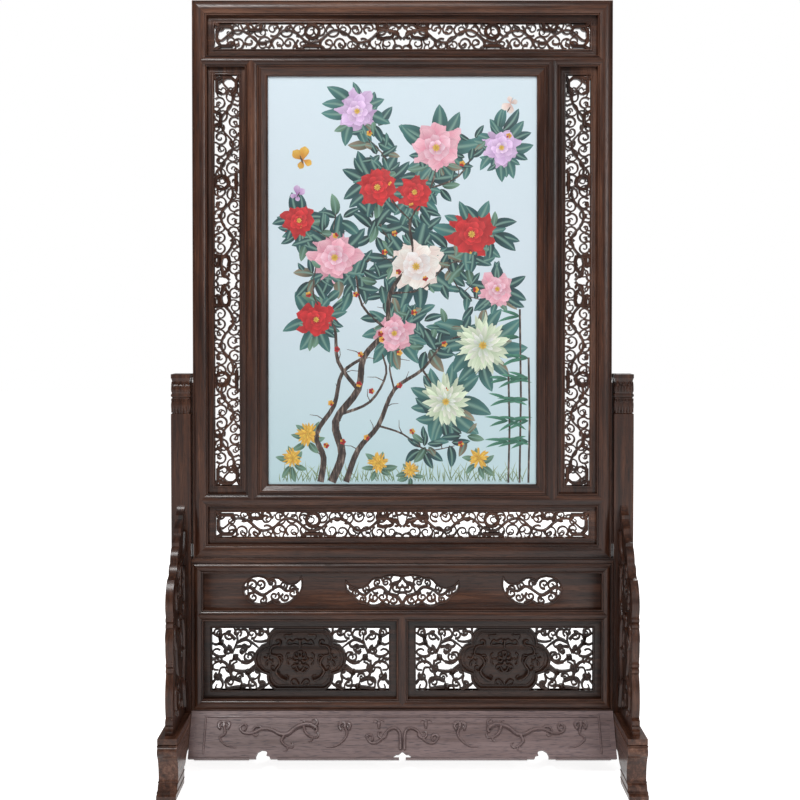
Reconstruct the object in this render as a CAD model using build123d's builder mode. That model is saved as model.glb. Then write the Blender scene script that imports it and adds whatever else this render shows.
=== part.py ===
from build123d import *
import cmath
import math
import os

# A floor-standing Chinese screen: a framed panel of embroidered silk between carved fretwork
# boards, which stands in the grooved posts of a separate stand and lifts straight out.
# Millimetres. Origin on the floor under the centre, +Z up, the front faces -Y.

os.makedirs("parts", exist_ok=True)

# Lift-out screen: frame members, from the outside in
SCREEN_HALF_WIDTH = 518.0
FRAME_THICK = 40.0
FRAME_WIDTH = 36.0
UPPER_RAIL_HEIGHT = 27.0
LOWER_RAIL_HEIGHT = 32.0
INNER_STILE_WIDTH = 33.0
SIDE_BAY_WIDTH = 94.0
TOP_BAY_HEIGHT = 99.0
BOTTOM_BAY_HEIGHT = 94.0
PICTURE_BAY_HEIGHT = 1055.0

# Moulding drawn on the front and back of every frame member
BEAD_WIDTH = 3.0
BEAD_RISE = 0.8
BEAD_DROP = 3.0
QUIRK_WIDTH = 1.5
QUIRK_DEPTH = 6.0
ROLL_RISE = 3.5

# Boards that float in the grooves of the frames
BOARD_THICK = 12.0
BOARD_TONGUE = 8.0
GROOVE_SIDE_GAP = 0.2
GROOVE_END_GAP = 0.5
TOP_MARGIN = 18.0
BOTTOM_MARGIN = 15.5
SIDE_MARGIN = 16.0
SIDE_END_MARGIN = 19.0

# Fretwork stems
STEM_WIDTH = 6.0
STEM_STEP = 45.0
STEM_BITE = 1.5
WAVE_PITCH = 115.0

# Cartouche in each lower panel: the straight length of its top and bottom, joined to the board
CARTOUCHE_TIE = 116.0

# Mortise and tenon joints
TENON_THICK = 10.0
TENON_LENGTH = 22.0
SHORT_TENON_LENGTH = 14.0
TENON_INSET = 9.0
JOINT_GAP = 0.2
SHOULDER_CORE = 20.0

# Picture in the middle of the screen
PICTURE_MOULDING_WIDTH = 22.0
PICTURE_MOULDING_FRONT = 15.0
PICTURE_MOULDING_LIP = 6.0
SILK_THICK = 0.8
SILK_GAP = 0.3
SILK_HOLD = 6.0
STRETCHER_WIDTH = 20.0

# Stand: posts and the fixed frame between them
POST_GAP = 5.0
POST_INNER = SCREEN_HALF_WIDTH + POST_GAP
POST_WIDTH = 48.0
POST_DEPTH = 50.0
POST_TOP = 977.0
POST_TENON_LENGTH = 60.0
POST_TENON_DEPTH = 34.0
POST_TENON_WIDTH = 22.0
CAPITAL_HEIGHT = 102.0
TRACK_DEPTH = 10.0
TONGUE_THICK = 14.0
TONGUE_LENGTH = 14.0
TONGUE_TOP_CLEAR = 22.0
TRACK_SIDE_GAP = 0.4
REST_GAP = 0.3
LEDGE_HEIGHT = 8.0
STAND_RAIL = 28.0
STAND_EDGE_STRIP = 5.0
STAND_FRAME_BASE = 140.0
STAND_LOWER_BAY = 195.0
STAND_UPPER_BAY = 91.0
STAND_TENON_REACH = 16.0
STAND_SIDE_MARGIN = 20.0

# Sledge feet
FOOT_HEIGHT = 138.0
FOOT_THICK = 46.0
FOOT_REACH = 200.0
FOOT_TOE = 213.0
FOOT_WAIST = 184.0
FOOT_PAD_INNER = 112.0
FOOT_PAD_HEIGHT = 38.0
FOOT_ARCH = 64.0

# Carved spandrels that brace each post on its foot, front and back
SPANDREL_THICK = 18.0
SPANDREL_TOP = 654.0
SPANDREL_REACH = 180.0
SPANDREL_TONGUE = 6.0
SPANDREL_TONGUE_THICK = 8.0

# Sloping apron boards, front and back
APRON_TOP_OUT = 20.0
APRON_BOTTOM_OUT = 76.0
APRON_DROP = 97.0
APRON_THICK = 14.0
APRON_TENON = 12.0
APRON_TENON_INSET = 28.0
APRON_NOTCH_PLACE = 339.0
CLOUD_HOOK = [(18, 0), (18, 7), (14, 15), (5, 20), (-5, 19), (-9, 14), (-7, 8), (-14, 7), (-17, 0)]
CENTRE_OGEE = [(23, 0), (21, 6), (15, 10), (9, 10), (4, 14), (0, 17)]

# Places worked out from the sizes above
ledge_bottom = STAND_FRAME_BASE + 3 * STAND_RAIL + STAND_LOWER_BAY + STAND_UPPER_BAY
stand_top = ledge_bottom + LEDGE_HEIGHT
screen_bottom = stand_top + REST_GAP
bottom_bay_z = screen_bottom + FRAME_WIDTH
lower_rail_z = bottom_bay_z + BOTTOM_BAY_HEIGHT
picture_bay_z = lower_rail_z + LOWER_RAIL_HEIGHT
upper_rail_z = picture_bay_z + PICTURE_BAY_HEIGHT
top_bay_z = upper_rail_z + UPPER_RAIL_HEIGHT
screen_top = top_bay_z + TOP_BAY_HEIGHT + FRAME_WIDTH
bay_half_width = SCREEN_HALF_WIDTH - FRAME_WIDTH
inner_stile_outer = bay_half_width - SIDE_BAY_WIDTH
picture_half_width = inner_stile_outer - INNER_STILE_WIDTH
stand_bay_half_width = POST_INNER - STAND_RAIL
lower_bay_z = STAND_FRAME_BASE + STAND_RAIL
middle_rail_z = lower_bay_z + STAND_LOWER_BAY
upper_bay_z = middle_rail_z + STAND_RAIL
top_rail_z = upper_bay_z + STAND_UPPER_BAY
post_centre = POST_INNER + POST_WIDTH / 2
post_face = POST_DEPTH / 2
groove_depth = BOARD_TONGUE + GROOVE_END_GAP
groove_width = BOARD_THICK + 2 * GROOVE_SIDE_GAP
stand_rail_reach = STAND_RAIL + STAND_TENON_REACH


def save(part, name):
    """Writes one finished piece under its own name."""
    part.label = name
    export_step(part, f"parts/{name}.step")


def mirrored(part):
    """The same piece for the right-hand side."""
    with BuildPart() as other:
        mirror(part, about=Plane.YZ)
    return other.part


def back_of(part):
    """The same piece for the back."""
    with BuildPart() as other:
        mirror(part, about=Plane.XZ)
    return other.part


def block(x_low, x_high, thick, z_low, z_high, mode=Mode.ADD):
    """A box centred on the screen's middle plane, given by its limits seen from the front."""
    with Locations(((x_low + x_high) / 2, 0, (z_low + z_high) / 2)):
        Box(x_high - x_low, thick, z_high - z_low, mode=mode)


# Frame joinery
def member_section(width, edge_width, grooves):
    """Section of a frame member: across its width from x=0, centred on its thickness.

    edge_width is the strip before the round moulding at the outer edge; grooves names the
    sides that hold a board: "inner" or "both"."""
    face = FRAME_THICK / 2
    strip_top = face - BEAD_DROP
    bead_side = strip_top - BEAD_RISE
    quirk = face - QUIRK_DEPTH
    roll_start = edge_width + QUIRK_WIDTH
    bead_start = width - BEAD_WIDTH
    roll_end = bead_start - QUIRK_WIDTH
    with BuildSketch() as section:
        with BuildLine():
            Polyline(
                (0, 0),
                (0, bead_side),
                (BEAD_RISE, strip_top),
                (edge_width - BEAD_RISE, strip_top),
                (edge_width, bead_side),
                (edge_width, quirk),
                (roll_start, quirk),
            )
            Line((roll_start, quirk), (roll_start, face - ROLL_RISE))
            ThreePointArc(
                (roll_start, face - ROLL_RISE),
                ((roll_start + roll_end) / 2, face),
                (roll_end, face - ROLL_RISE),
            )
            Polyline(
                (roll_end, face - ROLL_RISE),
                (roll_end, quirk),
                (bead_start, quirk),
                (bead_start, bead_side),
                (bead_start + BEAD_RISE, strip_top),
                (width - BEAD_RISE, strip_top),
                (width, bead_side),
                (width, 0),
                (0, 0),
            )
        make_face()
        mirror(about=Plane.XZ)
        with Locations((width - groove_depth / 2, 0)):
            Rectangle(groove_depth, groove_width, mode=Mode.SUBTRACT)
        if grooves == "both":
            with Locations((groove_depth / 2, 0)):
                Rectangle(groove_depth, groove_width, mode=Mode.SUBTRACT)
    return section.sketch


def member(section, plane, length, outline):
    """A moulded member: its section run along a plane's normal, cut to an outline seen from the front."""
    with BuildPart() as bar:
        with BuildSketch(plane):
            add(section)
        extrude(amount=length)
        with BuildSketch(Plane.XZ):
            Polygon(*outline, align=None)
        extrude(amount=FRAME_THICK, both=True, mode=Mode.INTERSECT)
    return bar.part


def level_plane(x, z, up):
    """Section plane of a level member that starts at x, with its section's x pointing up or down."""
    return Plane(origin=(x, 0, z), x_dir=(0, 0, up), z_dir=(1, 0, 0))


def upright_plane(x, z, outward):
    """Section plane of an upright member that starts at height z, its section's x along X."""
    return Plane(origin=(x, 0, z), x_dir=(outward, 0, 0), z_dir=(0, 0, 1))


def mortise(x_low, x_high, z_low, z_high):
    """The pocket for a tenon with those limits, larger by the joint gap all round."""
    block(
        x_low - JOINT_GAP,
        x_high + JOINT_GAP,
        TENON_THICK + 2 * JOINT_GAP,
        z_low - JOINT_GAP,
        z_high + JOINT_GAP,
        mode=Mode.SUBTRACT,
    )


def notch_faces(points):
    """Cuts the seat of a member's mitred point into both faces, short of the core."""
    for side in (-1, 1):
        with BuildSketch(Plane.XZ.offset(side * SHOULDER_CORE / 2)) as point:
            Polygon(*points, align=None)
        extrude(point.sketch, amount=side * FRAME_THICK, mode=Mode.SUBTRACT)


def rail_seat(x, z_low, height, outward, tenon_length):
    """Cuts a stile for the pointed end and the tenon of one rail."""
    z_high = z_low + height
    notch_faces([(x, z_low), (x + outward * height / 2, (z_low + z_high) / 2), (x, z_high)])
    limits = sorted((x - outward * groove_depth, x + outward * tenon_length))
    mortise(*limits, z_low + TENON_INSET, z_high - TENON_INSET)


def stile_seat(z, x_low, width, upward):
    """Cuts a rail for the pointed end and the short tenon of one upright."""
    x_high = x_low + width
    notch_faces([(x_low, z), ((x_low + x_high) / 2, z + upward * width / 2), (x_high, z)])
    limits = sorted((z - upward * groove_depth, z + upward * SHORT_TENON_LENGTH))
    mortise(x_low + TENON_INSET, x_high - TENON_INSET, *limits)


def pointed_rail(half_width, z_low, height, tenon_length):
    """A rail between two stiles, mitred to a point at both ends with a tenon behind each point."""
    z_high = z_low + height
    reach = height / 2
    outline = [
        (-half_width, z_low),
        (half_width, z_low),
        (half_width + reach, z_low + reach),
        (half_width, z_high),
        (-half_width, z_high),
        (-half_width - reach, z_low + reach),
    ]
    bar = member(
        member_section(height, BEAD_WIDTH, "both"),
        level_plane(-half_width - reach, z_low, 1),
        2 * (half_width + reach),
        outline,
    )
    with BuildPart() as rail:
        add(bar)
        for outward in (-1, 1):
            end = outward * half_width
            limits = sorted((end, end + outward * (reach + 1)))
            block(*limits, SHOULDER_CORE, z_low, z_high, mode=Mode.SUBTRACT)
            limits = sorted((end - outward, end + outward * tenon_length))
            block(*limits, TENON_THICK, z_low + TENON_INSET, z_high - TENON_INSET)
    return rail.part


def pointed_stile(x_low, width, z_low, z_high):
    """An upright between two rails, mitred to a point at both ends with a tenon behind each point."""
    x_high = x_low + width
    reach = width / 2
    middle = x_low + reach
    outline = [
        (x_low, z_low),
        (middle, z_low - reach),
        (x_high, z_low),
        (x_high, z_high),
        (middle, z_high + reach),
        (x_low, z_high),
    ]
    bar = member(
        member_section(width, BEAD_WIDTH, "both"),
        upright_plane(x_low, z_low - reach, 1),
        z_high - z_low + 2 * reach,
        outline,
    )
    with BuildPart() as stile:
        add(bar)
        for upward, end in ((-1, z_low), (1, z_high)):
            limits = sorted((end, end + upward * (reach + 1)))
            block(x_low, x_high, SHOULDER_CORE, *limits, mode=Mode.SUBTRACT)
            limits = sorted((end - upward, end + upward * SHORT_TENON_LENGTH))
            block(x_low + TENON_INSET, x_high - TENON_INSET, TENON_THICK, *limits)
    return stile.part


def corner_outline(half_width, z_low, z_high, width, which):
    """One side of a mitred frame seen from the front: bottom, top or left."""
    inner_x = half_width - width
    outer = [(-half_width, z_low), (half_width, z_low), (half_width, z_high), (-half_width, z_high)]
    inner = [(-inner_x, z_low + width), (inner_x, z_low + width)]
    inner += [(inner_x, z_high - width), (-inner_x, z_high - width)]
    first, second = {"bottom": (0, 1), "top": (2, 3), "left": (3, 0)}[which]
    return [outer[first], outer[second], inner[second], inner[first]]


def corner_tenon(half_width, inner_z, upward, width, reach):
    """Limits of the right-hand tenon that carries a mitred rail into its stile."""
    heights = sorted((inner_z + upward * TENON_INSET, inner_z + upward * (width - TENON_INSET / 2)))
    return half_width - width, half_width - width + reach, *heights


def mitred_rail(half_width, z_low, z_high, width, edge_width, which, reach):
    """Top or bottom rail of a mitred frame, with a tenon at each end."""
    upward = 1 if which == "top" else -1
    outer_z = z_high if which == "top" else z_low
    bar = member(
        member_section(width, edge_width, "inner"),
        level_plane(-half_width, outer_z, -upward),
        2 * half_width,
        corner_outline(half_width, z_low, z_high, width, which),
    )
    x_low, x_high, tenon_low, tenon_high = corner_tenon(
        half_width, outer_z - upward * width, upward, width, reach
    )
    with BuildPart() as rail:
        add(bar)
        block(x_low, x_high, TENON_THICK, tenon_low, tenon_high)
        block(-x_high, -x_low, TENON_THICK, tenon_low, tenon_high)
    return rail.part


def corner_seats(half_width, z_low, z_high, width, reach):
    """Cuts a left stile for the tenons of the top and bottom rails of its mitred frame."""
    for inner_z, upward in ((z_high - width, 1), (z_low + width, -1)):
        x_low, x_high, tenon_low, tenon_high = corner_tenon(half_width, inner_z, upward, width, reach)
        mortise(-x_high, -x_low, tenon_low, tenon_high)


# Screen frame
with BuildPart() as screen_stile_left:
    add(
        member(
            member_section(FRAME_WIDTH, BEAD_WIDTH, "inner"),
            upright_plane(-SCREEN_HALF_WIDTH, screen_bottom, 1),
            screen_top - screen_bottom,
            corner_outline(SCREEN_HALF_WIDTH, screen_bottom, screen_top, FRAME_WIDTH, "left"),
        )
    )
    block(
        -SCREEN_HALF_WIDTH - TONGUE_LENGTH,
        -SCREEN_HALF_WIDTH + 1,
        TONGUE_THICK,
        screen_bottom + FRAME_WIDTH,
        POST_TOP - TONGUE_TOP_CLEAR,
    )
    rail_seat(-bay_half_width, upper_rail_z, UPPER_RAIL_HEIGHT, -1, TENON_LENGTH)
    rail_seat(-bay_half_width, lower_rail_z, LOWER_RAIL_HEIGHT, -1, TENON_LENGTH)
    corner_seats(SCREEN_HALF_WIDTH, screen_bottom, screen_top, FRAME_WIDTH, TENON_LENGTH)
save(screen_stile_left.part, "screen_stile_left")
save(mirrored(screen_stile_left.part), "screen_stile_right")

for which in ("top", "bottom"):
    rail = mitred_rail(
        SCREEN_HALF_WIDTH, screen_bottom, screen_top, FRAME_WIDTH, BEAD_WIDTH, which, TENON_LENGTH
    )
    save(rail, f"screen_{which}_rail")

with BuildPart() as screen_upper_rail:
    add(pointed_rail(bay_half_width, upper_rail_z, UPPER_RAIL_HEIGHT, TENON_LENGTH))
    for x_low in (-inner_stile_outer, picture_half_width):
        stile_seat(upper_rail_z, x_low, INNER_STILE_WIDTH, 1)
save(screen_upper_rail.part, "screen_upper_rail")

with BuildPart() as screen_lower_rail:
    add(pointed_rail(bay_half_width, lower_rail_z, LOWER_RAIL_HEIGHT, TENON_LENGTH))
    for x_low in (-inner_stile_outer, picture_half_width):
        stile_seat(picture_bay_z, x_low, INNER_STILE_WIDTH, -1)
save(screen_lower_rail.part, "screen_lower_rail")

inner_stile_left = pointed_stile(-inner_stile_outer, INNER_STILE_WIDTH, picture_bay_z, upper_rail_z)
save(inner_stile_left, "inner_stile_left")
save(mirrored(inner_stile_left), "inner_stile_right")


# Fretwork: scroll vines sawn through the boards
def stem(start, heading, bends, width=STEM_WIDTH, tip=STEM_WIDTH, step=STEM_STEP):
    """Outline of a carved stem that tapers to its tip; bends are (radius, degrees), left positive."""
    place = complex(*start)
    course = cmath.rect(1, math.radians(heading))
    length = sum(radius * abs(degrees) for radius, degrees in bends)
    gone = 0.0
    right = [place - 1j * course * width / 2]
    left = [place + 1j * course * width / 2]
    for radius, degrees in bends:
        count = max(1, round(abs(degrees) / step))
        turn = cmath.rect(1, math.radians(degrees) / count)
        toward = 1j * math.copysign(radius, degrees)
        for _ in range(count):
            centre = place + course * toward
            place = centre + (place - centre) * turn
            course *= turn
            gone += radius * abs(degrees) / count
            half = (width + (tip - width) * gone / length) / 2
            right.append(place - 1j * course * half)
            left.append(place + 1j * course * half)
    return [(point.real, point.imag) for point in right + left[::-1]]


def both_ways(stems, across=True, upright=False):
    """The same stems with their mirror images added on the chosen sides of the middle."""
    images = list(stems)
    if across:
        images += [[(-x, z) for x, z in outline] for outline in images]
    if upright:
        images += [[(x, -z) for x, z in outline] for outline in images]
    return images


def stem_faces(stems):
    """Faces of a list of stem outlines, to be added in one go."""
    return [Face(Wire.make_polygon([(x, y, 0) for x, y in outline])) for outline in stems]


def vine(length, height):
    """Stems of a waving vine from the middle of a window to its end, with a curl in every wave."""
    reach = height / 2 - STEM_WIDTH / 2 + STEM_BITE
    waves = round((length / 2 - reach) / WAVE_PITCH)
    pitch = (length / 2 + STEM_BITE - reach) / waves
    lean = 2 * math.atan(2 * reach / pitch)
    radius = pitch / 2 / math.sin(lean)
    lean = math.degrees(lean)
    sides = [1 if wave % 2 == 0 else -1 for wave in range(waves)]
    stems = [stem((reach, 0), lean, [(radius, -2 * lean * side) for side in sides])]
    for wave, side in enumerate(sides):
        end = reach + pitch * (wave + 1)
        curl = [(height * 0.385, -180 * side), (height * 0.25, -155 * side)]
        stems.append(stem((end, 0), -lean * side, curl, tip=4.5))
    return stems


def ring(radius, sides=8):
    """A ring stem round the middle of a window."""
    turns = [math.radians(360 * (corner + 0.5) / sides) for corner in range(sides)]
    for half, mode in ((STEM_WIDTH / 2, Mode.ADD), (-STEM_WIDTH / 2, Mode.SUBTRACT)):
        size = radius + half
        Polygon(*[(size * math.cos(turn), size * math.sin(turn)) for turn in turns], align=None, mode=mode)


def band_fret(length, height):
    """Fretwork of a long window, along local x, centred on the origin."""
    reach = height / 2 - STEM_WIDTH / 2 + STEM_BITE
    with BuildSketch() as fret:
        ring(reach)
        add(stem_faces(both_ways(vine(length, height))))
    return fret.sketch


def pierced_board(x_low, x_high, z_low, z_high, window, fret, turned=0.0):
    """A board of one bay with a window cut in it and fretwork across the window."""
    centre = ((x_low + x_high) / 2, (z_low + z_high) / 2)
    with BuildPart() as pierced:
        with BuildSketch(Plane.XZ):
            with Locations(centre):
                Rectangle(x_high - x_low + 2 * BOARD_TONGUE, z_high - z_low + 2 * BOARD_TONGUE)
                Rectangle(*window, mode=Mode.SUBTRACT)
            with Locations(Location((*centre, 0), turned)):
                add(fret)
        extrude(amount=BOARD_THICK / 2, both=True)
    return pierced.part


across_length = 2 * (bay_half_width - TOP_MARGIN)
top_window = (across_length, TOP_BAY_HEIGHT - 2 * TOP_MARGIN)
fret_top = pierced_board(
    -bay_half_width,
    bay_half_width,
    top_bay_z,
    top_bay_z + TOP_BAY_HEIGHT,
    top_window,
    band_fret(*top_window),
)
save(fret_top, "fret_top")

bottom_window = (across_length, BOTTOM_BAY_HEIGHT - 2 * BOTTOM_MARGIN)
fret_bottom = pierced_board(
    -bay_half_width,
    bay_half_width,
    bottom_bay_z,
    lower_rail_z,
    bottom_window,
    band_fret(*bottom_window),
)
save(fret_bottom, "fret_bottom")

side_window = (SIDE_BAY_WIDTH - 2 * SIDE_MARGIN, PICTURE_BAY_HEIGHT - 2 * SIDE_END_MARGIN)
fret_left = pierced_board(
    -bay_half_width,
    -inner_stile_outer,
    picture_bay_z,
    upper_rail_z,
    side_window,
    band_fret(side_window[1], side_window[0]),
    turned=90.0,
)
save(fret_left, "fret_left")
save(mirrored(fret_left), "fret_right")


# Picture: the silk is laced into slots in the stretcher bars, between mouldings front and back
def picture_side(section, width, outer_grow, which):
    """One side of a mitred frame round the picture, made of its own section."""
    half_width = picture_half_width + outer_grow
    z_low = picture_bay_z - outer_grow
    z_high = upper_rail_z + outer_grow
    planes = {
        "bottom": (level_plane(-half_width, z_low, 1), 2 * half_width),
        "top": (level_plane(-half_width, z_high, -1), 2 * half_width),
        "left": (upright_plane(-half_width, z_low, 1), z_high - z_low),
    }
    plane, length = planes[which]
    return member(section, plane, length, corner_outline(half_width, z_low, z_high, width, which))


with BuildSketch() as moulding_section:
    slot_edge = STRETCHER_WIDTH - BOARD_TONGUE
    lip_y = SILK_THICK / 2 + SILK_GAP
    board_y = BOARD_THICK / 2
    with BuildLine():
        Polyline(
            (0, board_y),
            (0, PICTURE_MOULDING_FRONT - 1),
            (1, PICTURE_MOULDING_FRONT),
            (5, PICTURE_MOULDING_FRONT),
            (7, PICTURE_MOULDING_FRONT - 2),
            (18, PICTURE_MOULDING_LIP + 1),
            (20, PICTURE_MOULDING_LIP + 2),
            (PICTURE_MOULDING_WIDTH, PICTURE_MOULDING_LIP - 1),
        )
        Polyline(
            (PICTURE_MOULDING_WIDTH, PICTURE_MOULDING_LIP - 1),
            (PICTURE_MOULDING_WIDTH, lip_y),
            (slot_edge + JOINT_GAP, lip_y),
            (slot_edge + JOINT_GAP, board_y),
            (0, board_y),
        )
    make_face()
    mirror(about=Plane.XZ)

with BuildSketch() as stretcher_section:
    with Locations((STRETCHER_WIDTH / 2, 0)):
        Rectangle(STRETCHER_WIDTH, BOARD_THICK)
    with Locations((STRETCHER_WIDTH - SILK_HOLD / 2 - SILK_GAP / 2, 0)):
        Rectangle(SILK_HOLD + SILK_GAP, SILK_THICK + 0.1, mode=Mode.SUBTRACT)

for which in ("top", "bottom", "left"):
    bar = picture_side(stretcher_section.sketch, STRETCHER_WIDTH, BOARD_TONGUE, which)
    save(bar, f"stretcher_bar_{which}")
    both_mouldings = picture_side(moulding_section.sketch, PICTURE_MOULDING_WIDTH, 0, which)
    with BuildPart() as front_moulding:
        add(both_mouldings)
        with Locations((0, FRAME_THICK, screen_top / 2)):
            Box(2 * SCREEN_HALF_WIDTH, 2 * FRAME_THICK, screen_top * 2, mode=Mode.SUBTRACT)
    save(front_moulding.part, f"picture_moulding_front_{which}")
    save(back_of(front_moulding.part), f"picture_moulding_back_{which}")
    if which == "left":
        save(mirrored(bar), "stretcher_bar_right")
        right_moulding = mirrored(front_moulding.part)
        save(right_moulding, "picture_moulding_front_right")
        save(back_of(right_moulding), "picture_moulding_back_right")

silk_edge = STRETCHER_WIDTH - BOARD_TONGUE - SILK_HOLD
with BuildPart() as embroidered_silk:
    block(
        silk_edge - picture_half_width,
        picture_half_width - silk_edge,
        SILK_THICK,
        picture_bay_z + silk_edge,
        upper_rail_z - silk_edge,
    )
save(embroidered_silk.part, "embroidered_silk")

# Fixed frame of the stand
with BuildPart() as stand_stile_left:
    add(
        member(
            member_section(STAND_RAIL, STAND_EDGE_STRIP, "inner"),
            upright_plane(-POST_INNER, STAND_FRAME_BASE, 1),
            ledge_bottom - STAND_FRAME_BASE,
            corner_outline(POST_INNER, STAND_FRAME_BASE, ledge_bottom, STAND_RAIL, "left"),
        )
    )
    rail_seat(-stand_bay_half_width, middle_rail_z, STAND_RAIL, -1, TENON_LENGTH)
    corner_seats(POST_INNER, STAND_FRAME_BASE, ledge_bottom, STAND_RAIL, stand_rail_reach)
save(stand_stile_left.part, "stand_stile_left")
save(mirrored(stand_stile_left.part), "stand_stile_right")

stand_top_rail = mitred_rail(
    POST_INNER, STAND_FRAME_BASE, ledge_bottom, STAND_RAIL, BEAD_WIDTH, "top", stand_rail_reach
)
save(stand_top_rail, "stand_top_rail")

with BuildPart() as stand_bottom_rail:
    add(
        mitred_rail(
            POST_INNER,
            STAND_FRAME_BASE,
            ledge_bottom,
            STAND_RAIL,
            BEAD_WIDTH,
            "bottom",
            stand_rail_reach,
        )
    )
    stile_seat(lower_bay_z, -STAND_RAIL / 2, STAND_RAIL, -1)
save(stand_bottom_rail.part, "stand_bottom_rail")

with BuildPart() as stand_middle_rail:
    add(pointed_rail(stand_bay_half_width, middle_rail_z, STAND_RAIL, TENON_LENGTH))
    stile_seat(middle_rail_z, -STAND_RAIL / 2, STAND_RAIL, 1)
save(stand_middle_rail.part, "stand_middle_rail")

stand_muntin = pointed_stile(-STAND_RAIL / 2, STAND_RAIL, lower_bay_z, middle_rail_z)
save(stand_muntin, "stand_muntin")

with BuildPart() as rest_ledge:
    block(
        JOINT_GAP - POST_INNER,
        POST_INNER - JOINT_GAP,
        FRAME_THICK - 2,
        ledge_bottom,
        stand_top,
    )
    chamfer(rest_ledge.edges().filter_by(Axis.X).group_by(Axis.Z)[-1], length=2.0)
save(rest_ledge.part, "rest_ledge")

# Lower panels of the stand: a cartouche in the middle of each, scrolls either side


def cartouche():
    """The cartouche's face, centred on the origin: lobed ends and a straight top and bottom."""
    with BuildSketch() as shape:
        with BuildLine():
            Line((0, 74), (60, 74))
            ThreePointArc((60, 74), (76, 60), (80, 36))
            ThreePointArc((80, 36), (113, 0), (80, -36))
            ThreePointArc((80, -36), (76, -60), (60, -74))
            Line((60, -74), (0, -74))
            mirror(about=Plane.YZ)
        make_face()
    return shape.sketch


lower_window = (
    stand_bay_half_width - STAND_RAIL / 2 - 2 * STAND_SIDE_MARGIN,
    STAND_LOWER_BAY - 2 * STAND_SIDE_MARGIN,
)
window_end = lower_window[0] / 2
window_rise = lower_window[1] / 2 + STEM_BITE
scroll = [(24, 180), (14, 135)]
scroll_back = [(radius, -degrees) for radius, degrees in scroll]
lower_stems = [
    stem((window_end - 6, window_rise), -90, [(400, -4)] + scroll_back, tip=4.5),
    stem((window_end - 103, window_rise), -90, [(400, 4)] + scroll, tip=4.5),
    stem((window_end - 54.5, 50), -90, [(400, 6)], width=5, tip=5),
    stem((110, 1), 55, [(25, -110)], width=5, tip=5),
    stem((150, 1), 50, [(47.5, -100)], width=5, tip=5),
]

with BuildSketch() as lower_fret_pattern:
    add(stem_faces(both_ways(lower_stems, upright=True)))
    add(cartouche())
    Rectangle(CARTOUCHE_TIE, 2 * window_rise)

lower_fret = pierced_board(
    STAND_RAIL / 2,
    stand_bay_half_width,
    lower_bay_z,
    middle_rail_z,
    lower_window,
    lower_fret_pattern.sketch,
)
save(lower_fret, "lower_fret_right")
save(mirrored(lower_fret), "lower_fret_left")


# Cloud board above them: three cloud-shaped openings with scrolls inside
def side_cloud():
    """The cloud opening on the left, centred on the origin."""
    with BuildSketch() as cloud:
        with BuildLine():
            ThreePointArc((2, -25), (-45, -33), (-73, 4))
            ThreePointArc((-73, 4), (-50, 33), (-8, 26))
            ThreePointArc((-8, 26), (10, 32), (28, 25))
            ThreePointArc((28, 25), (52, 16), (73, 33))
            ThreePointArc((73, 33), (72, 0), (50, -24))
            ThreePointArc((50, -24), (26, -35), (2, -25))
        make_face()
    return cloud.sketch


def centre_cloud():
    """The wide cloud opening in the middle."""
    with BuildSketch() as cloud:
        with BuildLine():
            ThreePointArc((0, 35), (30, 38), (55, 31))
            ThreePointArc((55, 31), (68, 31), (78.7, 23.6))
            ThreePointArc((78.7, 23.6), (108, 6), (139.6, 23.6))
            ThreePointArc((139.6, 23.6), (138, 2), (122, -12))
            ThreePointArc((122, -12), (110, -27), (92, -31.5))
            ThreePointArc((92, -31.5), (72, -39), (49, -29.5))
            ThreePointArc((49, -29.5), (24, -40), (0, -35))
            mirror(about=Plane.YZ)
        make_face()
    return cloud.sketch


side_cloud_place = 325.0
cloud_level = (upper_bay_z + top_rail_z) / 2
side_cloud_stems = [
    stem((-75, 0), 30, [(22, -80), (16, -150)], width=5, tip=4),
    stem((75, 33), 200, [(60, 35), (17, -150)], width=5, tip=4),
]
centre_cloud_stems = [
    stem((0, -37), 62, [(60, -50), (24, 180)], width=5, tip=4),
    stem((0, 36), -55, [(17, 150)], width=5, tip=4),
    stem((141, 24), 205, [(60, -35), (17, 150)], width=5, tip=4),
]

with BuildSketch() as cloud_stems:
    with Locations((-side_cloud_place, cloud_level)):
        add(stem_faces(side_cloud_stems))
    with Locations((side_cloud_place, cloud_level)):
        add(stem_faces([[(-x, z) for x, z in outline] for outline in side_cloud_stems]))
    with Locations((0, cloud_level)):
        add(stem_faces(both_ways(centre_cloud_stems)))
        Rectangle(2 * stand_bay_half_width, STAND_UPPER_BAY, mode=Mode.INTERSECT)

with BuildSketch() as cloud_openings:
    with Locations((0, cloud_level)):
        add(centre_cloud())
    with Locations((-side_cloud_place, cloud_level)):
        add(side_cloud())
    mirror(about=Plane.YZ)

with BuildPart() as cloud_board:
    with BuildSketch(Plane.XZ):
        with Locations((0, cloud_level)):
            Rectangle(2 * (stand_bay_half_width + BOARD_TONGUE), STAND_UPPER_BAY + 2 * BOARD_TONGUE)
        add(cloud_openings.sketch, mode=Mode.SUBTRACT)
        add(cloud_stems.sketch)
    extrude(amount=BOARD_THICK / 2, both=True)
save(cloud_board.part, "cloud_board")


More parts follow.
